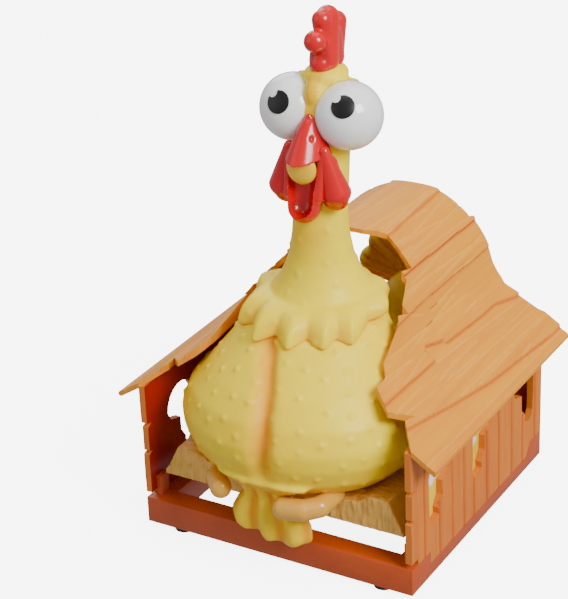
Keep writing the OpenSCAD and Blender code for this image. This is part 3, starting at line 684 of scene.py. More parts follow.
@dataclass(frozen=True)
class Metal:
    """Plated or drawn steel with fine brushing along one axis."""

    name: str
    colour: Colour
    roughness: float = 0.3
    along: Point = (1, 1, 0.1)

    def material(self) -> bpy.types.Material:
        """Build the material.

        Returns:
            The material.
        """
        g = Graph(self.name)
        brush = g.noise(g.place(self.along), 1400, 3)
        patch = g.noise(g.place(), 160, 3)
        dark = tuple(int(c * 0.72) for c in self.colour)
        g.set(
            Base_Color=g.blend(g.ramp(patch, 0.35, 0.75) * 0.5, linear(self.colour), linear(dark)),
            Metallic=1.0,
            Roughness=self.roughness * 0.8 + brush * 0.2,
            Normal=g.bump(brush, 0.4, 0.02),
        )
        return g.material


@dataclass(frozen=True)
class Printed:
    """Card printed with straw below and pale wall with violet flecks above."""

    name: str
    straw: Colour = (247, 214, 40)
    wall: Colour = (250, 247, 240)
    fleck: Colour = (150, 110, 200)
    border_z: float = 44.0

    def material(self) -> bpy.types.Material:
        """Build the material.

        Returns:
            The material.
        """
        g = Graph(self.name)
        where = g.place()
        height = g.node("ShaderNodeSeparateXYZ", {}, {0: where})[2]
        wave = g.noise(where, 90, 3)
        edge = g.ramp(height + (wave - 0.5) * 0.02, (self.border_z - 1) * MM, (self.border_z + 1) * MM)
        cells = g.node("ShaderNodeTexVoronoi", {}, {"Vector": where, "Scale": 330.0})[0]
        flecks = (1 - g.ramp(cells, 0.18, 0.3)) * g.ramp(g.noise(where, 160, 2), 0.45, 0.6)
        upper = g.blend(flecks, linear(self.wall), linear(self.fleck))
        lower = g.blend(g.ramp(g.noise(g.place((1, 1, 0.2)), 500, 3), 0.4, 0.7) * 0.5,
                        linear(self.straw), linear((230, 170, 30)))
        g.set(Base_Color=g.blend(edge, lower, upper), Roughness=0.35 + wave * 0.15,
              Normal=g.bump(wave, 0.2, 0.02))
        return g.material


FINISHES: dict[str, Moulded | Grained | Metal | Printed] = {finish.name: finish for finish in (
    Moulded("house_orange", (192, 78, 22), (134, 32, 8), roughness=0.42, mottle=0.3, scale=45, glow=0.1),
    Grained("roof_gold", (232, 152, 8), (206, 100, 2), (250, 200, 80), along=(1.0, 0.04, 1.0)),
    Grained("wall_tan", (222, 124, 24), (190, 76, 6), (244, 170, 70), along=(1.0, 1.0, 0.04)),
    # painted shade: a darker red copy of the house orange for the walls' inner faces
    Moulded("wall_inside_painted_shade", (160, 18, 4), (110, 8, 2), roughness=0.45, mottle=0.4, scale=40, glow=0.1),
    Moulded("rear_red", (196, 50, 22), (150, 22, 10),
            roughness=0.45, mottle=0.3, scale=40, bump=0.06, glow=0.1),
    Moulded("foot_rubber", (34, 33, 33), (20, 20, 20), roughness=0.75, mottle=0.5, scale=120, bump=0.08),
    Printed("card_print"),
    Moulded("tray_black", (30, 30, 32), (18, 18, 19), roughness=0.5, mottle=0.4, scale=90, bump=0.06),
    Moulded("gearbox_grey", (120, 122, 126), (92, 94, 98), roughness=0.5, mottle=0.4, scale=120),
    Metal("zinc_steel", (196, 198, 202)),
    Metal("spring_steel", (170, 172, 178), roughness=0.26),
    Moulded("bellows_rubber", (38, 36, 36), (22, 21, 21),
            roughness=0.7, mottle=0.4, scale=120, bump=0.08),
    Moulded("reed_ivory", (232, 222, 196), (206, 190, 156), roughness=0.45, mottle=0.4, scale=90),
    Grained("perch_tan", (244, 190, 84), (204, 136, 40), (252, 224, 140),
            along=(1.0, 1.0, 0.1), roughness=0.34, bump=0.1),
    Moulded("toe_tan", (228, 170, 60), (196, 122, 24),
            roughness=0.24, mottle=0.4, scale=70, bump=0.03, glow=0.2, coat=0.3),
    Moulded("bush_white", (238, 238, 232), (214, 214, 206), mottle=0.3, scale=120, bump=0.04),
    Moulded("drive_white", (236, 234, 226), (210, 206, 194), mottle=0.3, scale=120, bump=0.04),
    Moulded("core_grey", (170, 172, 176), (140, 142, 146), roughness=0.5, mottle=0.3, scale=90),
    Moulded("yellow_vinyl", (255, 228, 0), (240, 124, 0),
            roughness=0.42, mottle=0.14, scale=26, bump=0.04, glow=0.15, coat=0.03, mark=Mark.SHADE,
            shine=0.25),
    Moulded("eye_white", (250, 250, 250), (236, 236, 240),
            roughness=0.16, mottle=0.25, bump=0.01, glow=0.1, coat=0.5),
    Moulded("pupil_black", (10, 9, 9), (4, 4, 4), roughness=0.35, mottle=0.4, scale=120, bump=0.01),
    Moulded("comb_red", (214, 0, 10), (128, 0, 4),
            roughness=0.22, mottle=0.12, scale=50, bump=0.02, glow=0.1, coat=0.2, mark=Mark.SHADE),
    Moulded("tongue_yellow", (255, 200, 0), (232, 150, 0),
            roughness=0.3, mottle=0.3, scale=80, bump=0.02, glow=0.2, coat=0.3),
    Moulded("cam_red", (206, 52, 40), (170, 30, 24), mottle=0.3, scale=120, bump=0.04),
    Moulded("latch_orange", (238, 132, 34), (208, 96, 18), mottle=0.3, scale=120, bump=0.04),
)}


class Paint:
    """Makes each finish once and gives it to pieces."""

    made: dict[str, bpy.types.Material] = {}

    @classmethod
    def get(cls, name: str) -> bpy.types.Material:
        """The material of a finish.

        Args:
            name: Finish name.

        Returns:
            The material.
        """
        if name not in cls.made:
            cls.made[name] = FINISHES[name].material()
        return cls.made[name]

    @classmethod
    def dress(cls, obj: bpy.types.Object, *names: str) -> None:
        """Give a piece its finishes, the first for all faces.

        Args:
            obj: The piece.
            names: Finish names in slot order.
        """
        faces = np.zeros(len(obj.data.polygons), np.int32)
        obj.data.polygons.foreach_get("material_index", faces)
        obj.data.materials.clear()
        for name in names:
            obj.data.materials.append(cls.get(name))
        obj.data.polygons.foreach_set("material_index", faces)


def present(obj: bpy.types.Object, body: str, slot: str, nodes: Sequence[str], *finishes: str) -> None:
    """Hand a finished piece over to the frame.

    Args:
        obj: The piece.
        body: CAD body that it rides on.
        slot: Material slot of the record.
        nodes: CAD nodes that it stands for.
        finishes: Finishes, or none for the slot's own.
    """
    Paint.dress(obj, *(finishes or (slot,)))
    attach(obj, body)
    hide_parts(*nodes)
    LOG.info("%s: %d faces on %s", obj.name, len(obj.data.polygons), body)


# ---------------------------------------------------------------- the hen house


@dataclass
class House:
    """Base frame, walls, roof, feet and the printed card of the hen house; millimetres."""

    half: float = 66.0
    wall: float = 3.0
    ridge: float = 126.0
    eave: Point = (77.0, 0.0, 65.0)
    ridge_r: float = 40.0
    flare_r: float = 20.0
    pitch: float = 33.0
    roof_t: float = 2.4
    rear: float = 70.5
    front: tuple[tuple[float, float], ...] = (
        (1, -1), (0.87, -0.82), (0.89, -0.72), (0.77, -0.86), (0.65, -0.77), (0.64, -0.63), (0.6, -0.58),
        (0.555, -0.28), (0.54, -0.26), (0.556, -0.15), (0.52, -0.16), (0.455, 0.03), (0.42, 0.025),
        (0.44, 0.13), (0.3, 0.205), (0.2, 0.26), (0.14, 0.24), (0.04, 0.2))
    back: tuple[tuple[float, float], ...] = (
        (0.2, 0), (0.42, -2), (0.44, 0.6), (0.66, -0.8), (0.7, -2.6), (0.94, -0.5), (0.98, 1))
    seed: int = 11

    def profile(self) -> tuple[np.ndarray, float, float, float]:
        """Centre of the flare, angle where it starts, and lengths along the roof to both of its ends.

        Returns:
            The centre, the angle, and the lengths to the flare's start and end.
        """
        pitch = math.radians(self.pitch)
        u = np.array([-math.cos(pitch), math.sin(pitch)])
        n = np.array([math.sin(pitch), math.cos(pitch)])
        end, top = np.array([self.eave[0], self.eave[2]]), np.array([0, self.ridge - self.ridge_r])
        d = end + self.flare_r * n - top
        b, c = d @ u, d @ d - (self.ridge_r + self.flare_r) ** 2
        centre = end + (-b - math.sqrt(b * b - c)) * u + self.flare_r * n
        turn = math.atan2(*(centre - top))
        s1 = self.ridge_r * turn
        return centre, turn, s1, s1 + self.flare_r * (turn - pitch)

    def roof_place(self, s: np.ndarray, lift: np.ndarray) -> tuple[np.ndarray, np.ndarray]:
        """Place on the roof.

        Args:
            s: Length along the roof line from the ridge, negative on the left.
            lift: Distance out of the roof's top face.

        Returns:
            X and Z.
        """
        centre, turn, s1, s2 = self.profile()
        pitch = math.radians(self.pitch)
        side, a = np.sign(s), np.abs(s)
        p1 = np.minimum(a / self.ridge_r, turn)
        x1 = (self.ridge_r + lift) * np.sin(p1)
        z1 = self.ridge - self.ridge_r + (self.ridge_r + lift) * np.cos(p1)
        p2 = turn - np.clip(a - s1, 0, s2 - s1) / self.flare_r
        run = np.maximum(a - s2, 0)
        x2 = centre[0] - (self.flare_r - lift) * np.sin(p2) + run * math.cos(pitch)
        z2 = centre[1] - (self.flare_r - lift) * np.cos(p2) - run * math.sin(pitch)
        low = a > s1
        return side * np.where(low, x2, x1), np.where(low, z2, z1)

    def scratches(self) -> list[tuple[float, float, float, float]]:
        """Carved lines on the roof as (s, y) to (s, y).

        Returns:
            One row per line.
        """
        drawn = [
            (3.4, 13.8, 12, 70.5), (-6.5, 22.6, -2.2, 59.8), (13.8, 20.5, 15.7, 51.3),
            (37.1, 3.2, 33.8, 46.4), (46.1, -10.2, 51.3, 1.3), (68.6, -36, 64.1, -5.4),
            (88.5, -17, 88.5, 64), (56, -34, 58, 40), (60, -20, 54, 30), (78, -50, 81, 12),
            (99, -66, 99.5, 60), (9, 18, 9, 66), (22, 16, 17, 68), (19, 15, 25, 55), (27, 12, 24, 70),
            (29, 14, 31, 70), (38, -4, 42, 66), (44, 20, 41, 69), (61, -46, 63, -22),
            (75, -54, 74, -30), (71, -10, 76, 60), (82, -10, 84, 66)]
        rng = random.Random(self.seed)
        for _ in range(26):
            s, y, reach = rng.uniform(4, 99), rng.uniform(-50, 50), rng.uniform(10, 34)
            drawn.append((s, y, s + rng.uniform(-2.2, 2.2), y + reach))
        drawn += [(-a, b, -c + rng.uniform(-1, 1), d) for a, b, c, d in drawn if a > 4]
        return drawn

    def boards(self, s: np.ndarray, y: np.ndarray) -> tuple[np.ndarray, np.ndarray, np.ndarray]:
        """Relief of the boarded roof.

        Args:
            s: Length along the roof line.
            y: Depth.

        Returns:
            Height, painted highlight along the carved lines and painted shade just below each board's step
            at each point.
        """
        edges = [
            (0.0, [(-70, 0), (80, 0)]),
            (0.9, [(-70, 14), (13, 14), (80, 12)]),
            (1.0, [(-70, 32), (8, 32.4), (71, 33.7)]),
            (0.7, [(-70, 49), (2, 46.5), (68, 47.7)]),
            (1.1, [(-70, 69), (-39.5, 69.5), (-10.8, 70.1), (-8.6, 62.4), (4.3, 66.1), (5.6, 67.9),
                   (35, 69.7), (50, 70), (66, 74.3)]),
            (1.0, [(-70, 81), (-52.5, 83.4), (-29.9, 87.8), (4.4, 93.3), (62, 97.8)]),
            (0.4, [(-70, 112), (80, 112)])]
        a = np.abs(s)
        lines = [np.interp(y, [p[0] for p in path], [p[1] for p in path]) for _, path in edges]
        height, shade = np.zeros_like(a), np.zeros_like(a)
        for k in range(len(edges) - 1):
            here = (a >= lines[k]) & (a < lines[k + 1])
            share = np.clip((a - lines[k]) / np.maximum(lines[k + 1] - lines[k], 1), 0, 1)
            height = np.where(here, edges[k + 1][0] * (share ** 1.5) - 0.35, height)
        # painted shade just below each board's step edge
        for line, (rise, _) in zip(lines[1:-1], edges[1:-1]):
            shade = np.maximum(shade, bell(a - line - 0.3, 0.7) * rise)
        # painted highlight along each carved line
        pale = np.zeros_like(a)
        for s0, y0, s1, y1 in self.scratches():
            d = np.array([s1 - s0, y1 - y0])
            t = np.clip(((s - s0) * d[0] + (y - y0) * d[1]) / (d @ d), 0, 1)
            away = np.hypot(s - s0 - t * d[0], y - y0 - t * d[1])
            height = height - 0.45 * bell(away, 0.55)
            pale = np.maximum(pale, bell(away, 0.45))
        return height, pale, shade

    def roof(self) -> None:
        """Boarded roof with its broken front edge."""
        length, margin = 104.5, 3.0
        top_share, under_share = 0.72, 0.28

        def shell(u: np.ndarray, v: np.ndarray) -> np.ndarray:
            """Closed loop round the roof's section: top face out and under face back.

            Args:
                u: Grid share from 0 to 1.
                v: Grid share from 0 to 1.

            Returns:
                Places.
            """
            u = u % 1.0
            top = u < top_share
            out, back = u / top_share, (u - top_share) / under_share
            s = np.where(top, mixed(-length, length, out), mixed(length, -length, back))
            y = mixed(-self.half - margin, self.rear + margin, v)
            lift = np.where(top, self.boards(s, y)[0], -self.roof_t)
            x, z = self.roof_place(s, lift)
            return np.stack([x, y, z], 1)

        obj = Bench.skin("roof_boards", 480, 88, shell)
        Bench.close(obj)
        right = [(self.eave[0], -self.half)] + [(a * self.half, b * self.half) for a, b in self.front]
        rear = [(a * self.half, self.rear + b) for a, b in self.back] + [(self.eave[0], self.rear)]
        left = [(-a, b) for a, b in right[::-1]]
        rear_left = [(-a, b) for a, b in rear[::-1]]
        plan = right + left + rear_left + rear
        Bench.cut(obj, self.prism(plan, 40, 140), Cut.KEEP_INSIDE)
        self.mark_roof(obj)
        Bench.soft(obj, 38)
        present(obj, "coop", "roof_gold", ["roof"], "roof_gold", "house_orange")

    def mark_roof(self, obj: bpy.types.Object) -> None:
        """Store the painted highlight along the boards' carved lines and the painted shade below their steps
        on the roof, and give its under face the base's orange.

        Args:
            obj: The roof.
        """
        centre, turn, s1, s2 = self.profile()
        places = Bench.places(obj)
        a = np.abs(places[:, 0])
        angle = np.arctan2(a, places[:, 2] - self.ridge + self.ridge_r)
        flare = np.arctan2(centre[0] - a, centre[1] - places[:, 2])
        pitch = math.radians(self.pitch)
        foot = centre - self.flare_r * np.array([math.sin(pitch), math.cos(pitch)])
        run = (a - foot[0]) * math.cos(pitch) - (places[:, 2] - foot[1]) * math.sin(pitch)
        low = np.where(run > 0, s2 + run, s1 + self.flare_r * (turn - flare))
        s = np.where(angle < turn, angle * self.ridge_r, low) * np.sign(places[:, 0])
        _, pale, shade = self.boards(s, places[:, 1])
        # painted highlight along the carved lines and painted shade below the board steps
        Bench.mark(obj, Mark.LINE, pale)
        Bench.mark(obj, Mark.SHADE, shade)
        Bench.second_finish(obj, (0, 0, -1), 0.2)

    @staticmethod
    def prism(outline: Sequence[tuple[float, float]], low: float, high: float) -> bpy.types.Object:
        """A plan outline extruded between two heights.

        Args:
            outline: Points of the plan.
            low: Lower height.
            high: Upper height.

        Returns:
            The new piece.
        """
        bpy.ops.object.select_all(action="DESELECT")
        bpy.ops.mesh.primitive_circle_add(vertices=len(outline), radius=1, fill_type="NGON")
        obj = bpy.context.object
        Bench.put(obj, np.array([(x, y, low) for x, y in outline], float))
        rise = (0, 0, (high - low) * MM)
        Bench.edit(
            obj,
            lambda: bpy.ops.mesh.extrude_region_move(TRANSFORM_OT_translate={"value": rise}),
            lambda: bpy.ops.mesh.select_all(action="SELECT"),
            lambda: bpy.ops.mesh.quads_convert_to_tris(ngon_method="CLIP"),
            lambda: bpy.ops.mesh.normals_make_consistent(inside=False),
        )
        return obj

    def planks(self, y: np.ndarray, z: np.ndarray, seed: float) -> tuple[np.ndarray, np.ndarray]:
        """Relief of the upright wall boards and its dark seams.

        Args:
            y: Depth.
            z: Height.
            seed: Seed of the wall.

        Returns:
            Depth of the relief and strength of the seams.
        """
        rng = random.Random(seed)
        wander = 0.5 * np.sin(z / 9 + seed) + 0.3 * np.sin(z / 4 + 2 * seed)
        depth, seam = np.zeros_like(y), np.zeros_like(y)
        place = -self.half + rng.uniform(9, 13)
        while place < self.half - 4:
            away = y - place - wander * 0.6
            depth += 0.75 * bell(away, 0.6)
            depth -= 0.25 * bell(away - 1.4, 1.2)
            seam = np.maximum(seam, bell(away, 0.7))
            place += rng.uniform(10, 15)
        place = -self.half
        while place < self.half:
            low, high = rng.uniform(8, 40), rng.uniform(45, 95)
            reach = step(low - 3, low, z) * (1 - step(high, high + 3, z))
            depth += rng.uniform(0.15, 0.42) * bell(y - place - wander, 0.42) * reach
            place += rng.uniform(1.5, 3.6)
        return depth, seam

    def side(self, name: str, node: str, sign: int) -> None:
        """One side wall, boards cut by the wall's own outline.

        Args:
            name: Piece name.
            node: CAD wall.
            sign: 1 on the right and -1 on the left.
        """
        reach, foot, head = 67.5, 5.0, 100.0
        outer_share, inner_share = 0.8, 0.2
        seed = 5 + sign

        def slab(u: np.ndarray, v: np.ndarray) -> np.ndarray:
            """Closed loop: carved outer face, then inner face back.

            Args:
                u: Grid share from 0 to 1.
                v: Grid share from 0 to 1.

            Returns:
                Places.
            """
            u = u % 1.0
            outer = u < outer_share
            out, back = u / outer_share, (u - outer_share) / inner_share
            y = np.where(outer, mixed(-reach, reach, out), mixed(reach, -reach, back))
            z = mixed(foot, head, v)
            x = np.where(outer, self.half - self.planks(y, z, seed)[0], self.half - self.wall)
            return np.stack([sign * x, y, z], 1)

        obj = Bench.skin(name, 560, 36, slab)
        Bench.close(obj)
        tool = Bench.copy("tool", node)
        thick = Bench.places(tool)
        middle = sign * (self.half - self.wall / 2)
        thick[:, 0] = middle + (thick[:, 0] - middle) * 2.4
        Bench.put(tool, thick)
        Bench.cut(obj, tool, Cut.KEEP_INSIDE)
        places = Bench.places(obj)
        outside = step(self.half - 1.6, self.half - 1.2, np.abs(places[:, 0]))
        seam = self.planks(places[:, 1], places[:, 2], seed)[1] * outside
        Bench.mark(obj, Mark.SHADE, seam)
        Bench.mark(obj, Mark.LINE, seam * 0)
        # the inner faces take the darker red finish as painted shade
        Bench.second_finish(obj, (-sign, 0, 0), 0.4)
        Bench.soft(obj, 32)
        present(obj, "coop", "house_orange", [node], "wall_tan", "wall_inside_painted_shade")

    def rest(self) -> None:
        """Base frame, rear wall, feet and card with softened edges."""
        for name, node, bevel, slot in [
            ("base_rails", "base_frame", 0.7, "house_orange"),
            ("rear_boards", "rear_wall", 0.4, "rear_red"),
            ("foot_pads", "rubber_feet", 0.3, "foot_rubber"),
            ("printed_card", "window_card", 0.15, "card_print"),
        ]:
            present(Bench.refined(name, node, bevel), "coop", slot, [node])

    def build(self) -> None:
        """Build and dress the house."""
        self.rest()
        self.side("right_boards", "right_wall", 1)
        self.side("left_boards", "left_wall", -1)
        self.roof()


# ---------------------------------------------------------------- the chicken


@dataclass
class Plumage:
    """Soft yellow skin: belly, back, tuft, cape, neck, head and tail; millimetres.

    A row of sections gives a share of the belly's height, its width, its depth and its shift back.
    A row of feathers gives the cape's edge: degrees round the neck, a share of the belly's height,
    a distance out of the belly, and 1 at a feather's point. A row of column gives the neck: a share
    along its grid, a height and a radius against neck_r.
    """

    base_top: float = 14.4
    belly_z: float = 35.0
    belly_h: float = 72.0
    belly_a: float = 54.5
    belly_b: float = 46.0
    belly_y: float = -38.0
    tuft_y: float = -67.6
    neck_y: float = -18.0
    neck_z: float = 143.0
    crown_y: float = -9.0
    crown_z: float = 209.0
    neck_r: float = 11.5
    eye: Point = EYE
    eye_r: float = EYE_R
    hub: Point = (0.0, 76.5, 75.0)
    fan_r: float = 33.0
    seed: int = 7
    sections: tuple[tuple[float, float, float, float], ...] = (
        (0, 0.28, 0.27, 0), (0.028, 0.64, 0.64, 0), (0.097, 0.81, 0.8, 0), (0.18, 0.92, 0.92, 0),
        (0.305, 0.99, 0.99, 0), (0.4, 1, 1, 0), (0.54, 0.93, 0.955, 1.5), (0.667, 0.78, 0.87, 4.5),
        (0.79, 0.655, 0.76, 9), (0.903, 0.575, 0.65, 14), (0.972, 0.44, 0.49, 18), (1, 0.26, 0.3, 20))
    feathers: tuple[tuple[float, float, float, float], ...] = (
        (-142, 0.9, 3.2, 1), (-127, 0.935, 2.2, 0), (-112, 0.893, 3.4, 1), (-99, 0.935, 2.2, 0),
        (-83, 0.9, 3.4, 1), (-72, 0.938, 2.2, 0), (-57, 0.905, 3.4, 1), (-48, 0.936, 2.2, 0),
        (-36, 0.91, 3.2, 1), (-14, 0.965, 3, 0.1), (2, 0.978, 9.5, 1), (25, 0.97, 3, 0.1),
        (45, 0.93, 3, 1), (60, 0.96, 2.2, 0), (78, 0.92, 3, 1), (92, 0.955, 2.2, 0), (106, 0.92, 3, 1),
        (122, 0.96, 2.2, 0), (138, 0.93, 3, 1), (156, 0.97, 3, 0.1), (178, 0.978, 9.5, 1),
        (196, 0.965, 3, 0.1), (218, 0.9, 3.2, 1))
    column: tuple[Point, ...] = (
        (0, 200, 0), (0.02, 200, 0.8), (0.05, 197, 0.98), (0.35, 150, 1), (0.41, 143, 1.02),
        (0.45, 136, 1.08), (0.49, 127, 1.22), (0.53, 122, 1.38), (0.57, 117, 1.6), (0.62, 112, 1.92))

    def belly(self, t: np.ndarray, angle: np.ndarray, out: np.ndarray | float) -> np.ndarray:
        """Place on the belly at a share of its height and an angle, moved out by a distance.

        Args:
            t: Share of the height.
            angle: Angle round the belly.
            out: Distance out of it.

        Returns:
            Places.
        """
        rows = np.array(self.sections)
        a, b, y = (np.interp(t, rows[:, 0], rows[:, k]) for k in (1, 2, 3))
        return np.stack([
            (a * self.belly_a + out) * np.cos(angle),
            self.belly_y + y + (b * self.belly_b + out) * np.sin(angle),
            self.belly_z + t * self.belly_h], 1)

    @staticmethod
    def tuft_sides(z: np.ndarray) -> tuple[np.ndarray, np.ndarray]:
        """Left and right edge of the breast tuft at a height.

        Args:
            z: Height.

        Returns:
            Left and right X.
        """
        keys = [14.8, 19, 27, 34, 38, 42, 49]
        return (np.interp(z, keys, [-14, -17.5, -18, -14, -10, -12, -22]),
                np.interp(z, keys, [19, 21.8, 21.5, 16, 12, 15, 26]))

    def head_y(self, z: np.ndarray | float) -> np.ndarray | float:
        """Depth of the neck's axis at a height."""
        share = np.maximum(0, (z - self.neck_z) / (self.crown_z - self.neck_z))
        return mixed(self.neck_y, self.crown_y, share)

    @staticmethod
    def flutes(across: np.ndarray) -> np.ndarray:
        """Waves of the tuft's feathers over its width, which runs from -1 to 1."""
        return np.cos(across * math.pi * 3.05 + 0.4)

    def pimple(
        self, obj: bpy.types.Object, gap: float, height: float, allowed: Callable[[np.ndarray], np.ndarray]
    ) -> None:
        """Raise small round pimples on a skin.

        Args:
            obj: The skin.
            gap: Least distance between pimples.
            height: Height of each pimple.
            allowed: Says where pimples may stand, from places.
        """
        tries = 6000
        rng = random.Random(self.seed)
        places, normals = Bench.places(obj), Bench.normals(obj)
        order = list(np.flatnonzero(allowed(places)))
        rng.shuffle(order)
        chosen: list[np.ndarray] = []
        for index in order[:tries]:
            spot = places[index]
            if all(np.linalg.norm(spot - other) > gap for other in chosen):
                chosen.append(spot)
        rise = np.zeros(len(places))
        for k, spot in enumerate(chosen):
            size = 1.15 + 0.5 * ((k * 7) % 5) / 5
            near = np.linalg.norm(places - spot, axis=1)
            rise = np.maximum(rise, height * (0.7 + 0.5 * ((k * 3) % 4) / 4) * bell(near, size))
        Bench.put(obj, places + normals * rise[:, None])

    def body(self) -> None:
        """Belly, back and breast tuft as one moulded skin."""
        def egg(u: np.ndarray, v: np.ndarray) -> np.ndarray:
            """Belly rings closed at both poles.

            Args:
                u: Grid share from 0 to 1.
                v: Grid share from 0 to 1.

            Returns:
                Places.
            """
            t = np.clip((v - 0.02) / 0.96, 0, 1)
            ring = self.belly(t, -2 * math.pi * u, 0.0)
            pole = (v < 0.011) | (v > 0.989)
            middle = np.stack([0 * u, self.belly_y + np.where(v > 0.5, 20, 0), ring[:, 2]], 1)
            return np.where(pole[:, None], middle, ring)

        def back(u: np.ndarray, v: np.ndarray) -> np.ndarray:
            """Back that narrows to the tail stem.

            Args:
                u: Grid share from 0 to 1.
                v: Grid share from 0 to 1.

            Returns:
                Places.
            """
            keys = [0, 0.22, 0.45, 0.68, 0.86, 1]
            y = np.interp(v, keys, [-26, -2, 20, 40, 49.5, 66.9])
            wide = [share * self.belly_a for share in (0.86, 0.7, 0.44, 0.26)]
            half = np.interp(v, keys, [*wide, 9, 9])
            low = np.interp(v, keys, [43, 47, 55, 63, 68, 68])
            high = np.interp(v, keys, [99, 95, 88, 84, 84, 84])
            pole = (v < 0.004) | (v > 0.996)
            angle = 2 * math.pi * u
            half, rise = np.where(pole, 0, half), np.where(pole, 0, (high - low) / 2)
            return np.stack([-half * np.cos(angle), y, (low + high) / 2 + rise * np.sin(angle)], 1)

        def tuft(u: np.ndarray, v: np.ndarray) -> np.ndarray:
            """Fluted skirt of feathers hanging from a narrow waist.

            Args:
                u: Grid share from 0 to 1.
                v: Grid share from 0 to 1.

            Returns:
                Places.
            """
            z = mixed(self.base_top + 0.4, 49, v)
            left, right = self.tuft_sides(z)
            depth = np.interp(v, [0, 0.12, 0.35, 0.55, 0.66, 0.8, 1], [6, 7.6, 8, 8, 8, 10, 16])
            angle = 2 * math.pi * u
            across = np.cos(angle)
            x = mixed(left, right, (across + 1) / 2)
            front = -np.sign(np.sin(angle)) * np.abs(np.sin(angle)) ** 0.55
            wave = self.flutes(across)
            fold = 1.9 * wave * (np.sin(angle) > 0) * (1 - step(0.62, 0.95, v))
            y = self.tuft_y - depth / 2 + depth / 2 * front - fold
            dip = 1.6 * wave * (1 - step(0.0, 0.16, v))
            slant = 3.4 * (1 - step(-0.9, 0.2, across)) * (1 - step(0.0, 0.35, v))
            pole = (v < 0.004) | (v > 0.996)
            x, y = np.where(pole, (left + right) / 2, x), np.where(pole, self.tuft_y - depth / 2, y)
            return np.stack([x, y, z + slant + np.maximum(-dip, 0) * 0.8], 1)

        def breast(p: np.ndarray) -> np.ndarray:
            """True between the tuft and the cape, beside the groove."""
            return (p[:, 2] > 44) & (p[:, 2] < 104) & (p[:, 1] < 20) & (np.abs(p[:, 0] - 1) > 4)

        parts = [
            Bench.skin("belly", 96, 60, egg),
            Bench.skin("back", 64, 60, back),
            Bench.skin("tuft", 120, 50, tuft)]
        obj = Bench.merge("body_plumage", parts, 0.85, 14)
        places, normals = Bench.places(obj), Bench.normals(obj)
        x, z = places[:, 0], places[:, 2]
        line = np.interp(z, [50, 70, 84, 99], [4.5, 4.5, 1.5, -6.0])
        groove = bell(x - line, 4.0) * step(44, 56, z) * (1 - step(96, 104, z))
        groove *= step(-0.1, 0.5, -normals[:, 1])
        moved = places.copy()
        moved[:, 1] += 5.0 * groove
        Bench.put(obj, moved)
        Bench.modify(obj, "SMOOTH", factor=0.5, iterations=2)
        self.pimple(obj, 8.5, 0.85, breast)
        # painted shade: darker along the breast groove, on down-facing faces low on the belly, in the tuft's
        # flute valleys, and on faces turned left or to the front
        groove = bell(x - line, 4.6) * step(46, 66, z) * step(0, 0.5, -normals[:, 1])
        under = step(0.1, 0.9, -normals[:, 2]) * step(34, 40, z) * 0.5
        left, right = self.tuft_sides(z)
        across = 2 * (x - left) / (right - left) - 1
        valley = step(0.1, 1, -self.flutes(across))
        folds = (1 - step(38, 46, z)) * (places[:, 1] < -68) * (0.12 + 0.4 * valley)
        turned = 0.3 * step(0.2, 1.0, -normals[:, 0]) + 0.12 * step(0.3, 0.9, -normals[:, 1])
        Bench.mark(obj, Mark.SHADE, 0.6 * groove + under + folds + turned)
        present(obj, "pump", "yellow_vinyl", ["body_skin"])

    def cape(self) -> None:
        """Neck, head and the cape of pointed feathers, moulded in one."""
        turns, heights, outs, tips = np.array(self.feathers).T
        column_v, column_z, column_r = np.array(self.column).T
        neck_end, cape_run, cape_end = 0.62, 0.24, 0.86

        def cover(u: np.ndarray, v: np.ndarray) -> np.ndarray:
            """Neck from the head down to the cape's points and back under them.

            Args:
                u: Grid share from 0 to 1.
                v: Grid share from 0 to 1.

            Returns:
                Places.
            """
            degrees = -142 + 360 * u
            angle = np.radians(degrees)
            share = np.interp(degrees, turns, heights)
            out = np.interp(degrees, turns, outs)
            tip = np.interp(degrees, turns, tips)
            z = np.interp(v, column_v, column_z)
            r = self.neck_r * np.interp(v, column_v, column_r)
            upper = np.stack([r * np.cos(angle), self.head_y(z) + r * np.sin(angle), z], 1)
            foot_r, foot_z = column_r[-1] * self.neck_r, column_z[-1]
            top = np.stack([
                foot_r * np.cos(angle), self.neck_y + foot_r * np.sin(angle), foot_z + 0 * u], 1)
            edge = self.belly(share, angle, out)
            w = np.clip((v - neck_end) / cape_run, 0, 1)
            puff = (1.9 + 1.4 * tip) * np.sin(math.pi * w) ** 0.9
            away = np.stack([np.cos(angle), np.sin(angle), 0.9 + 0 * u], 1)
            cape = mixed(top, edge, w[:, None]) + away * puff[:, None]
            low = self.belly(share, angle, out * 0.45)
            low[:, 2] -= 1.4
            tuck = self.belly(np.minimum(share + 0.02, 0.99), angle, -0.6)
            core = np.stack([0 * u, self.neck_y + 0 * u, 103 + 0 * u], 1)
            w1, w2, w3 = (np.clip((v - a) / 0.045, 0, 1)[:, None] for a in (cape_end, 0.905, 0.95))
            lip = mixed(mixed(mixed(edge, low, w1), tuck, w2), core, w3)
            return np.where((v < neck_end)[:, None], upper, np.where((v < cape_end)[:, None], cape, lip))

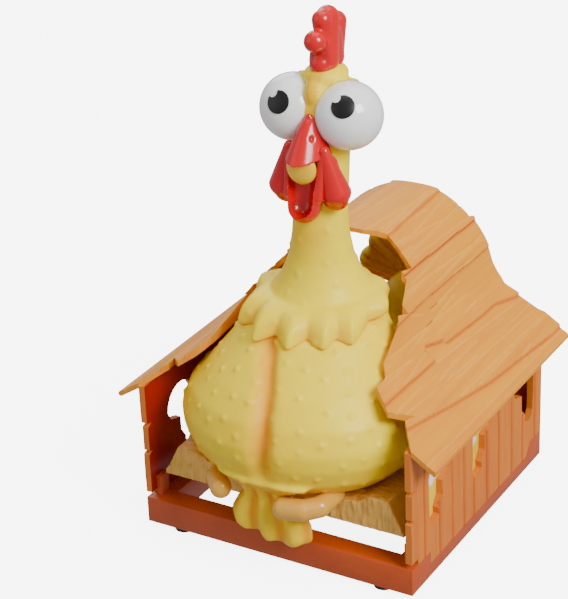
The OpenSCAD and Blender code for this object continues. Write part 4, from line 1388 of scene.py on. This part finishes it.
        ex, ey, ez = self.eye
        crown, brow, nape = self.crown_z, self.crown_y - 3, self.crown_y + 1
        parts = [
            Bench.skin("neck", 180, 110, cover),
            Bench.pod((0, self.head_y(186), 180), (0, self.crown_y, crown - 9), 10.2, 8.6),
            Bench.ball((0, self.crown_y - 0.5, crown - 4.5), (9.2, 10.5, 5.2)),
            Bench.pod((-9, brow, crown - 7.5), (9, brow, crown - 7.5), 3.6, 3.6),
            Bench.pod((-12.5, nape, crown - 7.6), (12.5, nape, crown - 7.6), 2.4, 2.4),
            Bench.rod((-4.5, ey, ez), (4.5, ey, ez), 9.9),
            Bench.ball((0, ey - 1.5, ez + 8.5), (5.4, 8.0, 7.5))]
        obj = Bench.merge("neck_plumage", parts, 0.8, 5)
        self.pimple(obj, 9, 0.5, lambda p: (p[:, 2] > 96) & (p[:, 2] < 160))
        for side in (-1, 1):
            ball = Bench.ball((side * ex, ey, ez), (self.eye_r + 0.12,) * 3, 64)
            places = Bench.places(ball)
            places[:, 0] = side * np.maximum(side * places[:, 0], 1.55)
            Bench.put(ball, places)
            Bench.cut(obj, Bench.clean(ball), Cut.REMOVE)
        places, normals = Bench.places(obj), Bench.normals(obj)
        degrees = np.degrees(np.arctan2(places[:, 1] - self.neck_y, places[:, 0]))
        degrees = np.where(degrees < -142, degrees + 360, degrees)
        tip = np.interp(degrees, turns, tips)
        # painted shade: darker between the cape's feather points, under the chin, on down-facing faces below
        # the cape's edge, along the bridge between the eyes, and on left-facing faces
        valley = (1 - tip) * (1 - step(104, 112, places[:, 2])) * 0.35
        chin = bell(places[:, 2] - 139, 7) * step(0.5, 1.0, -normals[:, 1]) * 0.25
        under = step(0.2, 0.9, -normals[:, 2]) * (places[:, 2] < 112) * 0.7
        bridge = (np.abs(places[:, 0]) < 3) * (places[:, 2] > 178) * step(0.2, 0.8, -normals[:, 1]) * 0.35
        turned = 0.25 * step(0.2, 1.0, -normals[:, 0]) * (places[:, 2] < 172)
        Bench.mark(obj, Mark.SHADE, valley + chin + under + bridge + turned)
        Bench.soft(obj, 50)
        present(obj, "pump", "yellow_vinyl", ["neck_cape"])

    def fan(self) -> None:
        """Tail fan of fluted round lobes."""
        lobe_r = 7.8
        reach, root = self.fan_r - lobe_r, self.hub[2] - 1
        parts, axes = [], []
        for i in range(7):
            a = math.radians(-78 + 26 * i)
            y = self.hub[1] - 0.6 + 0.5 * (i % 2)
            end = (reach * math.sin(a), y, root + reach * math.cos(a))
            parts.append(Bench.pod((0, self.hub[1], root), end, 6.5, lobe_r))
            axes.append((math.sin(a), math.cos(a)))
        obj = Bench.merge("tail_plumage", parts, 0.8, 3)
        places = Bench.places(obj)
        x, z = places[:, 0], places[:, 2] - root
        across = np.min(np.abs([x * c - z * s for s, c in axes]), axis=0)
        far = step(8, 16, np.hypot(x, z))
        flute = bell(across - 2.7, 0.9) * far
        lean = np.sign(places[:, 1] - self.hub[1])
        places[:, 1] = self.hub[1] + (places[:, 1] - self.hub[1]) * (0.9 - 0.16 * flute)
        places[:, 1] = np.maximum(places[:, 1], 67.2)
        Bench.put(obj, places)
        Bench.modify(obj, "SMOOTH", factor=0.5, iterations=1)
        # painted shade: darker in the flutes between the lobes and towards the hub
        middle = 1 - step(2, 18, np.hypot(x, z))
        Bench.mark(obj, Mark.SHADE, 0.25 * flute * np.abs(lean) + 0.2 * middle)
        present(obj, "pump", "yellow_vinyl", ["tail_fan"])

    def build(self) -> None:
        """Build and dress the plumage."""
        self.body()
        self.cape()
        self.fan()


@dataclass
class Face:
    """Eyes, comb, beak, tongue and wattles; millimetres."""

    eye: Point = EYE
    eye_r: float = EYE_R
    crown: Point = (0.0, -9.0, 208.0)
    beak_y: float = -25.0
    gazes: tuple[Point, Point] = ((0.0, -0.9, 0.436), (0.24, -0.785, 0.571))

    def eyes(self) -> None:
        """Two glossy balls cut flat beside the ridge, with notched pupils."""
        ex, ey, ez = self.eye
        for side, word, gaze in ((-1, "left", self.gazes[0]), (1, "right", self.gazes[1])):
            centre = (side * ex, ey, ez)
            ball = Bench.ball(centre, (self.eye_r,) * 3, 72)
            places = Bench.places(ball)
            places[:, 0] = side * np.maximum(side * places[:, 0], 1.7)
            Bench.put(ball, places)
            ball.name = ball.data.name = f"{word}_eyeball"
            Bench.soft(Bench.clean(ball), 60)
            present(ball, "pump", "eye_white", [f"{word}_eye"])
            self.pupil(word, np.array(centre), np.array(gaze))

    def pupil(self, word: str, centre: np.ndarray, gaze: np.ndarray) -> None:
        """A thin black disc on the eye with a round bite at its upper left.

        Args:
            word: Side name.
            centre: Eye centre.
            gaze: Direction of sight.
        """
        gaze = gaze / np.linalg.norm(gaze)
        shell = Bench.ball(tuple(centre), (self.eye_r + 0.35,) * 3, 128)
        Bench.cut(shell, Bench.ball(tuple(centre), (self.eye_r - 0.3,) * 3, 128), Cut.REMOVE)
        Bench.cut(shell, Bench.rod(tuple(centre), tuple(centre + gaze * 20), 4.9, 96), Cut.KEEP_INSIDE)
        right = np.cross(gaze, (0, 0, 1))
        right /= np.linalg.norm(right)
        up = np.cross(right, gaze)
        bite = centre + gaze * 10 + right * 3.2 + up * 3.6
        Bench.cut(shell, Bench.rod(tuple(bite), tuple(bite + gaze * 10), 2.1, 48), Cut.REMOVE)
        shell.name = shell.data.name = f"{word}_iris"
        Bench.soft(shell, 40)
        present(shell, "pump", "pupil_black", [f"{word}_pupil"])

    def comb(self) -> None:
        """Upright comb with a front ball and two taller lobes."""
        x, y, z = self.crown
        parts = [
            Bench.pod((x, y - 4.5, z + 2), (x, y + 5.5, z + 2), 4.9, 4.9),
            Bench.pod((x, y - 2, z + 3), (x, y + 2.0, z + 20.0), 6.2, 5.0),
            Bench.pod((x, y + 3, z + 3), (x, y + 3.4, z + 14.0), 6.0, 5.0),
            Bench.pod((x, y - 4, z + 9), (x, y - 8.6, z + 12.6), 3.6, 4.9),
            Bench.pod((x, y - 1.2, z + 14), (x, y - 2.6, z + 20.0), 4.2, 4.4),
            Bench.pod((x, y + 6, z + 4), (x, y + 9.4, z + 16.2), 4.6, 4.3)]
        obj = Bench.merge("comb_moulding", parts, 0.45, 12)
        places = Bench.places(obj)
        low = places[:, 2] < z + 0.1
        places[low, 2] = z + 0.1
        Bench.put(obj, places)
        # painted shade in a hollow at the front of the comb
        hollow = bell(places[:, 1] - (y - 6.4), 1.2) * bell(places[:, 2] - (z + 7), 4)
        Bench.mark(obj, Mark.SHADE, 0.5 * hollow)
        present(obj, "pump", "comb_red", ["comb"])

    def upper_bill(self) -> None:
        """Ridged upper beak with two nostrils."""
        by, ez = self.beak_y, self.eye[2]

        def upper(u: np.ndarray, v: np.ndarray) -> np.ndarray:
            """Rings that widen from the apex to the rim.

            Args:
                u: Grid share from 0 to 1.
                v: Grid share from 0 to 1.

            Returns:
                Places.
            """
            t = np.clip((v - 0.06) / 0.88, 0, 1)
            angle = 2 * math.pi * u
            across, ahead = np.sin(angle), np.cos(angle)
            half = 2.6 + 6.9 * t ** 0.8
            reach = 2.6 + 13.4 * t ** 0.8
            front = ahead > 0
            y = by + 1.5 - np.where(front, reach * np.abs(ahead) ** 1.25, 3.2 * ahead)
            z = ez + 0.5 - 15.2 * t - np.where(front, 1.4 * t * np.abs(ahead) ** 3, 0)
            x = half * across
            pole = (v < 0.03) | (v > 0.97)
            x, y = np.where(pole, 0, x), np.where(pole, by - reach * 0.35, y)
            z = z + np.where(v < 0.03, 2.2, 0) + np.where(v > 0.97, 1.6, 0)
            return np.stack([x, y, z], 1)

        obj = Bench.merge("upper_bill", [Bench.skin("upper", 72, 40, upper)], 0.4, 5)
        places = Bench.places(obj)
        rise = np.zeros(len(places))
        for side in (-1, 1):
            hole = np.array([side * 4.2, by - 5.2, ez - 6.2])
            rise -= 0.7 * bell(np.linalg.norm(places - hole, axis=1), 1.1)
        Bench.put(obj, places + Bench.normals(obj) * rise[:, None])
        # painted shade in the nostrils and on the beak's down-facing underside
        under = step(0.3, 0.9, -Bench.normals(obj)[:, 2])
        Bench.mark(obj, Mark.SHADE, np.clip(-rise, 0, 1) * 0.9 + 0.5 * under)
        self.clear_of_head(obj)
        present(obj, "pump", "comb_red", ["upper_beak"])

    def lower_bill(self) -> None:
        """Hanging lower beak, hollowed like a scoop."""
        by, ez = self.beak_y, self.eye[2]
        scoop = Bench.merge("scoop", [
            Bench.pod((-7.6, by - 3.0, ez - 14), (-6.6, by - 6.0, ez - 31), 2.4, 3.0),
            Bench.pod((7.6, by - 3.0, ez - 14), (6.6, by - 6.0, ez - 31), 2.4, 3.0),
            Bench.pod((0, by - 3.5, ez - 29), (0, by - 6.0, ez - 36.5), 8.4, 7.0),
            Bench.pod((0, by - 0.5, ez - 24), (0, by - 1.0, ez - 41), 6.4, 4.2)], 0.4, 5)
        dish = Bench.merge("dish", [
            Bench.pod((0, by - 7.5, ez - 17), (0, by - 9.6, ez - 34.5), 6.8, 5.6),
            Bench.pod((0, by - 13.5, ez - 18), (0, by - 15.5, ez - 32), 7.0, 5.4)], 0.5, 3)
        Bench.cut(scoop, dish, Cut.REMOVE)
        scoop = Bench.merge("lower_bill", [scoop], 0.4, 3)
        places = Bench.places(scoop)
        # painted shade on the upward-facing faces inside the scoop
        inside = step(0.0, 0.5, Bench.normals(scoop)[:, 2]) * step(by - 12, by - 6, places[:, 1])
        Bench.mark(scoop, Mark.SHADE, 0.4 * inside)
        self.clear_of_head(scoop)
        present(scoop, "pump", "comb_red", ["lower_beak"])

    def tongue(self) -> None:
        """Plump tongue between the two halves of the beak."""
        by, ez = self.beak_y, self.eye[2]
        tongue = Bench.merge("tongue_pad", [
            Bench.ball((0, by - 7.4, ez - 19.0), (6.9, 3.2, 7.0)),
            Bench.ball((0, by - 2.0, ez - 20.5), (5.4, 5.0, 4.8))], 0.45, 3)
        present(tongue, "pump", "tongue_yellow", ["tongue"])

    def clear_of_head(self, obj: bpy.types.Object) -> None:
        """Cut the eyeballs' room out of a piece.

        Args:
            obj: The piece.
        """
        for side in (-1, 1):
            ball = Bench.ball((side * self.eye[0], self.eye[1], self.eye[2]), (self.eye_r + 0.1,) * 3, 64)
            Bench.cut(obj, ball, Cut.REMOVE)
        Bench.soft(obj, 50)

    def wattles(self) -> None:
        """A hanging drop on each side of the mouth."""
        by, ez = self.beak_y, self.eye[2]
        for side, word in ((-1, "left"), (1, "right")):
            obj = Bench.merge(f"{word}_drop", [
                Bench.pod((side * 8.2, by - 2.6, ez - 12), (side * 12.4, by - 1.0, ez - 29.5), 2.4, 6.4),
                Bench.pod((side * 9.2, by - 1.0, ez - 18), (side * 11.6, by + 0.2, ez - 32.8), 4.0, 5.6),
            ], 0.45, 8)
            self.clear_of_head(obj)
            Bench.mark(obj, Mark.SHADE, Bench.places(obj)[:, 0] * 0)
            present(obj, "pump", "comb_red", [f"{word}_wattle"])

    def build(self) -> None:
        """Build and dress the face."""
        self.eyes()
        self.comb()
        self.upper_bill()
        self.lower_bill()
        self.tongue()
        self.wattles()


@dataclass
class Perch:
    """Straw-topped perch and the two toes that grip the tuft; millimetres."""

    low: float = 25.5
    high: float = 40.5
    front: float = -60.0
    toe_r: float = 4.8

    def block(self) -> None:
        """Perch with bark on its front and straw on its top."""
        obj = Bench.merge("perch_block", [Bench.copy("perch_copy", "perch_platform")], 0.75, 2)
        places, normals = Bench.places(obj), Bench.normals(obj)
        face = step(0.6, 0.9, -normals[:, 1]) * (places[:, 1] < self.front + 2)
        bark = np.abs(cloud(places, (0.75, 0.2, 0.09))) + 0.5 * np.abs(cloud(places, (1.9, 0.2, 0.16), 5))
        upper = step(0.6, 0.9, normals[:, 2]) * (places[:, 2] > self.low + 3)
        straw = np.abs(cloud(places, (0.16, 0.85, 0.2), 9)) + 0.5 * np.abs(cloud(places, (0.3, 1.7, 0.2), 3))
        rise = face * (1.6 * bark - 0.7) + upper * (1.2 * straw - 0.6)
        Bench.put(obj, places + normals * rise[:, None])
        # painted shade in the gaps between the bark and straw relief
        bark_gaps = face * (1 - step(0.03, 0.16, bark)) * 0.4
        straw_gaps = upper * (1 - step(0.03, 0.16, straw)) * 0.35
        Bench.mark(obj, Mark.SHADE, bark_gaps + straw_gaps)
        # painted highlight on the raised bark and straw
        Bench.mark(obj, Mark.LINE, face * step(0.5, 0.75, bark) + upper * step(0.5, 0.75, straw))
        Bench.soft(obj)
        present(obj, "pump", "perch_tan", ["perch_platform"])

    def toes(self) -> None:
        """Two stubby fingers that curl in front of the perch."""
        r, z = self.toe_r, self.high - 2.0
        right = [((27.5, self.front - 1, z + 0.6), (26.5, -72.6, z), r - 0.5, r - 0.2),
                 ((26.5, -72.6, z), (21, -77.4, z - 0.6), r - 0.2, r),
                 ((21, -77.4, z - 0.6), (12.5, -78.4, z - 1.2), r, r + 0.2)]
        left = [((-27, self.front - 1, z + 0.6), (-25, -71.5, z), r - 0.5, r - 0.2),
                ((-25, -71.5, z), (-19.8, -76.2, z - 1.0), r - 0.2, r)]
        parts = [Bench.pod(a, b, r0, r1) for a, b, r0, r1 in right + left]
        obj = Bench.merge("toe_moulding", parts, 0.5, 6)
        places = Bench.places(obj)
        places[:, 1] = np.minimum(places[:, 1], self.front + 0.3)
        Bench.put(obj, places)
        present(obj, "pump", "toe_tan", ["toes"])

    def build(self) -> None:
        """Build and dress the perch."""
        self.block()
        self.toes()


# ---------------------------------------------------------------- the works


@dataclass
class Works:
    """CAD parts that keep their exact shape and get their finishes."""

    finishes: tuple[tuple[str, tuple[str, ...]], ...] = (
        ("tray_black", ("mechanism_tray",)),
        ("gearbox_grey", ("gearbox_left", "gearbox_right")),
        ("zinc_steel", ("tray_screws", "guide_posts", "gearbox_bolts", "cheek_screws", "latch_pin",
                        "plunger_screws", "core_screws", "tail_screw", "cam_shaft")),
        ("spring_steel", ("return_springs",)),
        ("bellows_rubber", ("squawk_bellows",)),
        ("reed_ivory", ("reed_box",)),
        ("bush_white", ("post_bushes",)),
        ("drive_white", ("plunger_rack", "pinion_gear")),
        ("core_grey", ("body_core",)),
        ("cam_red", ("timing_cam",)),
        ("latch_orange", ("latch_lever",)))

    def build(self) -> None:
        """Dress the works."""
        for finish, nodes in self.finishes:
            for node in nodes:
                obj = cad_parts[node]
                obj.data.materials.clear()
                obj.data.materials.append(Paint.get(finish))
                LOG.info("%s: CAD shape in %s", node, finish)


# ---------------------------------------------------------------- studio


@dataclass
class Studio:
    """Pale floor, soft lights and the camera; metres and degrees."""

    azimuth: float = 31.06
    elevation: float = 26.0
    roll: float = -2.37
    distance: float = 0.85
    aim: Point = (-0.00584, -0.04073, 0.11375)
    lens: float = 121.78

    def floor(self) -> None:
        """Wide pale sweep that curls up far behind the object."""
        def sweep(u: np.ndarray, v: np.ndarray) -> np.ndarray:
            """Flat floor with a rising back."""
            x, y = mixed(-4000, 4000, u), mixed(-3000, 3500, v)
            return np.stack([x, y, 2200 * step(1500, 3500, y) - 0.02], 1)

        obj = Bench.skin("studio_floor", 24, 48, sweep)
        g = Graph("studio_white")
        tone = g.noise(g.place(), 1.2, 2)
        white = g.blend(tone, linear((255, 255, 255)), linear((252, 252, 252)))
        g.set(Base_Color=white, Roughness=0.7 + tone * 0.1, Emission_Color=white, Emission_Strength=6.0)
        obj.data.materials.append(g.material)
        Bench.soft(obj)
        obj.visible_diffuse = obj.visible_glossy = False

    def light(self, name: str, place: Point, size: float, power: float) -> None:
        """A square area light that faces the object.

        Args:
            name: Light name.
            place: Where it hangs.
            size: Side of the square.
            power: Watts.
        """
        data = bpy.data.lights.new(name, "AREA")
        data.shape, data.size, data.energy = "SQUARE", size, power
        obj = bpy.data.objects.new(name, data)
        bpy.context.scene.collection.objects.link(obj)
        obj.location = place
        obj.rotation_euler = (Vector(self.aim) - Vector(place)).to_track_quat("-Z", "Y").to_euler()

    def camera(self) -> None:
        """Camera at the given angle round the object."""
        a, e, r = (math.radians(v) for v in (self.azimuth, self.elevation, self.roll))
        back = Vector((math.sin(a) * math.cos(e), -math.cos(a) * math.cos(e), math.sin(e)))
        right = (-back).cross(Vector((0, 0, 1))).normalized()
        up = right.cross(-back)
        right, up = right * math.cos(r) + up * math.sin(r), up * math.cos(r) - right * math.sin(r)
        data = bpy.data.cameras.new("camera")
        data.lens, data.sensor_width, data.clip_start, data.clip_end = self.lens, 36, 0.01, 20
        obj = bpy.data.objects.new("camera", data)
        bpy.context.scene.collection.objects.link(obj)
        turn = Matrix((right, up, back)).transposed().to_4x4()
        obj.matrix_world = Matrix.Translation(Vector(self.aim) + back * self.distance) @ turn
        bpy.context.scene.camera = obj

    def build(self) -> None:
        """Set up the studio."""
        self.floor()
        self.light("key", (1.1, -0.35, 1.0), 0.6, 25)
        self.light("top", (-0.1, 0.2, 1.5), 1.2, 8)
        self.light("fill", (-1.1, -1.0, 0.7), 1.2, 2.6)
        self.light("rim", (-0.9, 0.9, 0.8), 0.8, 5)
        world = bpy.data.worlds.new("studio_air")
        bpy.context.scene.world = world
        world.use_nodes = True
        world.node_tree.nodes["Background"].inputs[0].default_value = (1, 1, 1, 1)
        world.node_tree.nodes["Background"].inputs[1].default_value = 0.5
        self.camera()


def main() -> None:
    """Build every sub-assembly around the frame."""
    logging.basicConfig(level=logging.INFO, format="%(name)s: %(message)s")
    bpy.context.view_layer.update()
    for group in (House(), Plumage(), Face(), Perch(), Works(), Studio()):
        LOG.info("building %s", type(group).__name__)
        group.build()


if __name__ == "__main__":
    main()
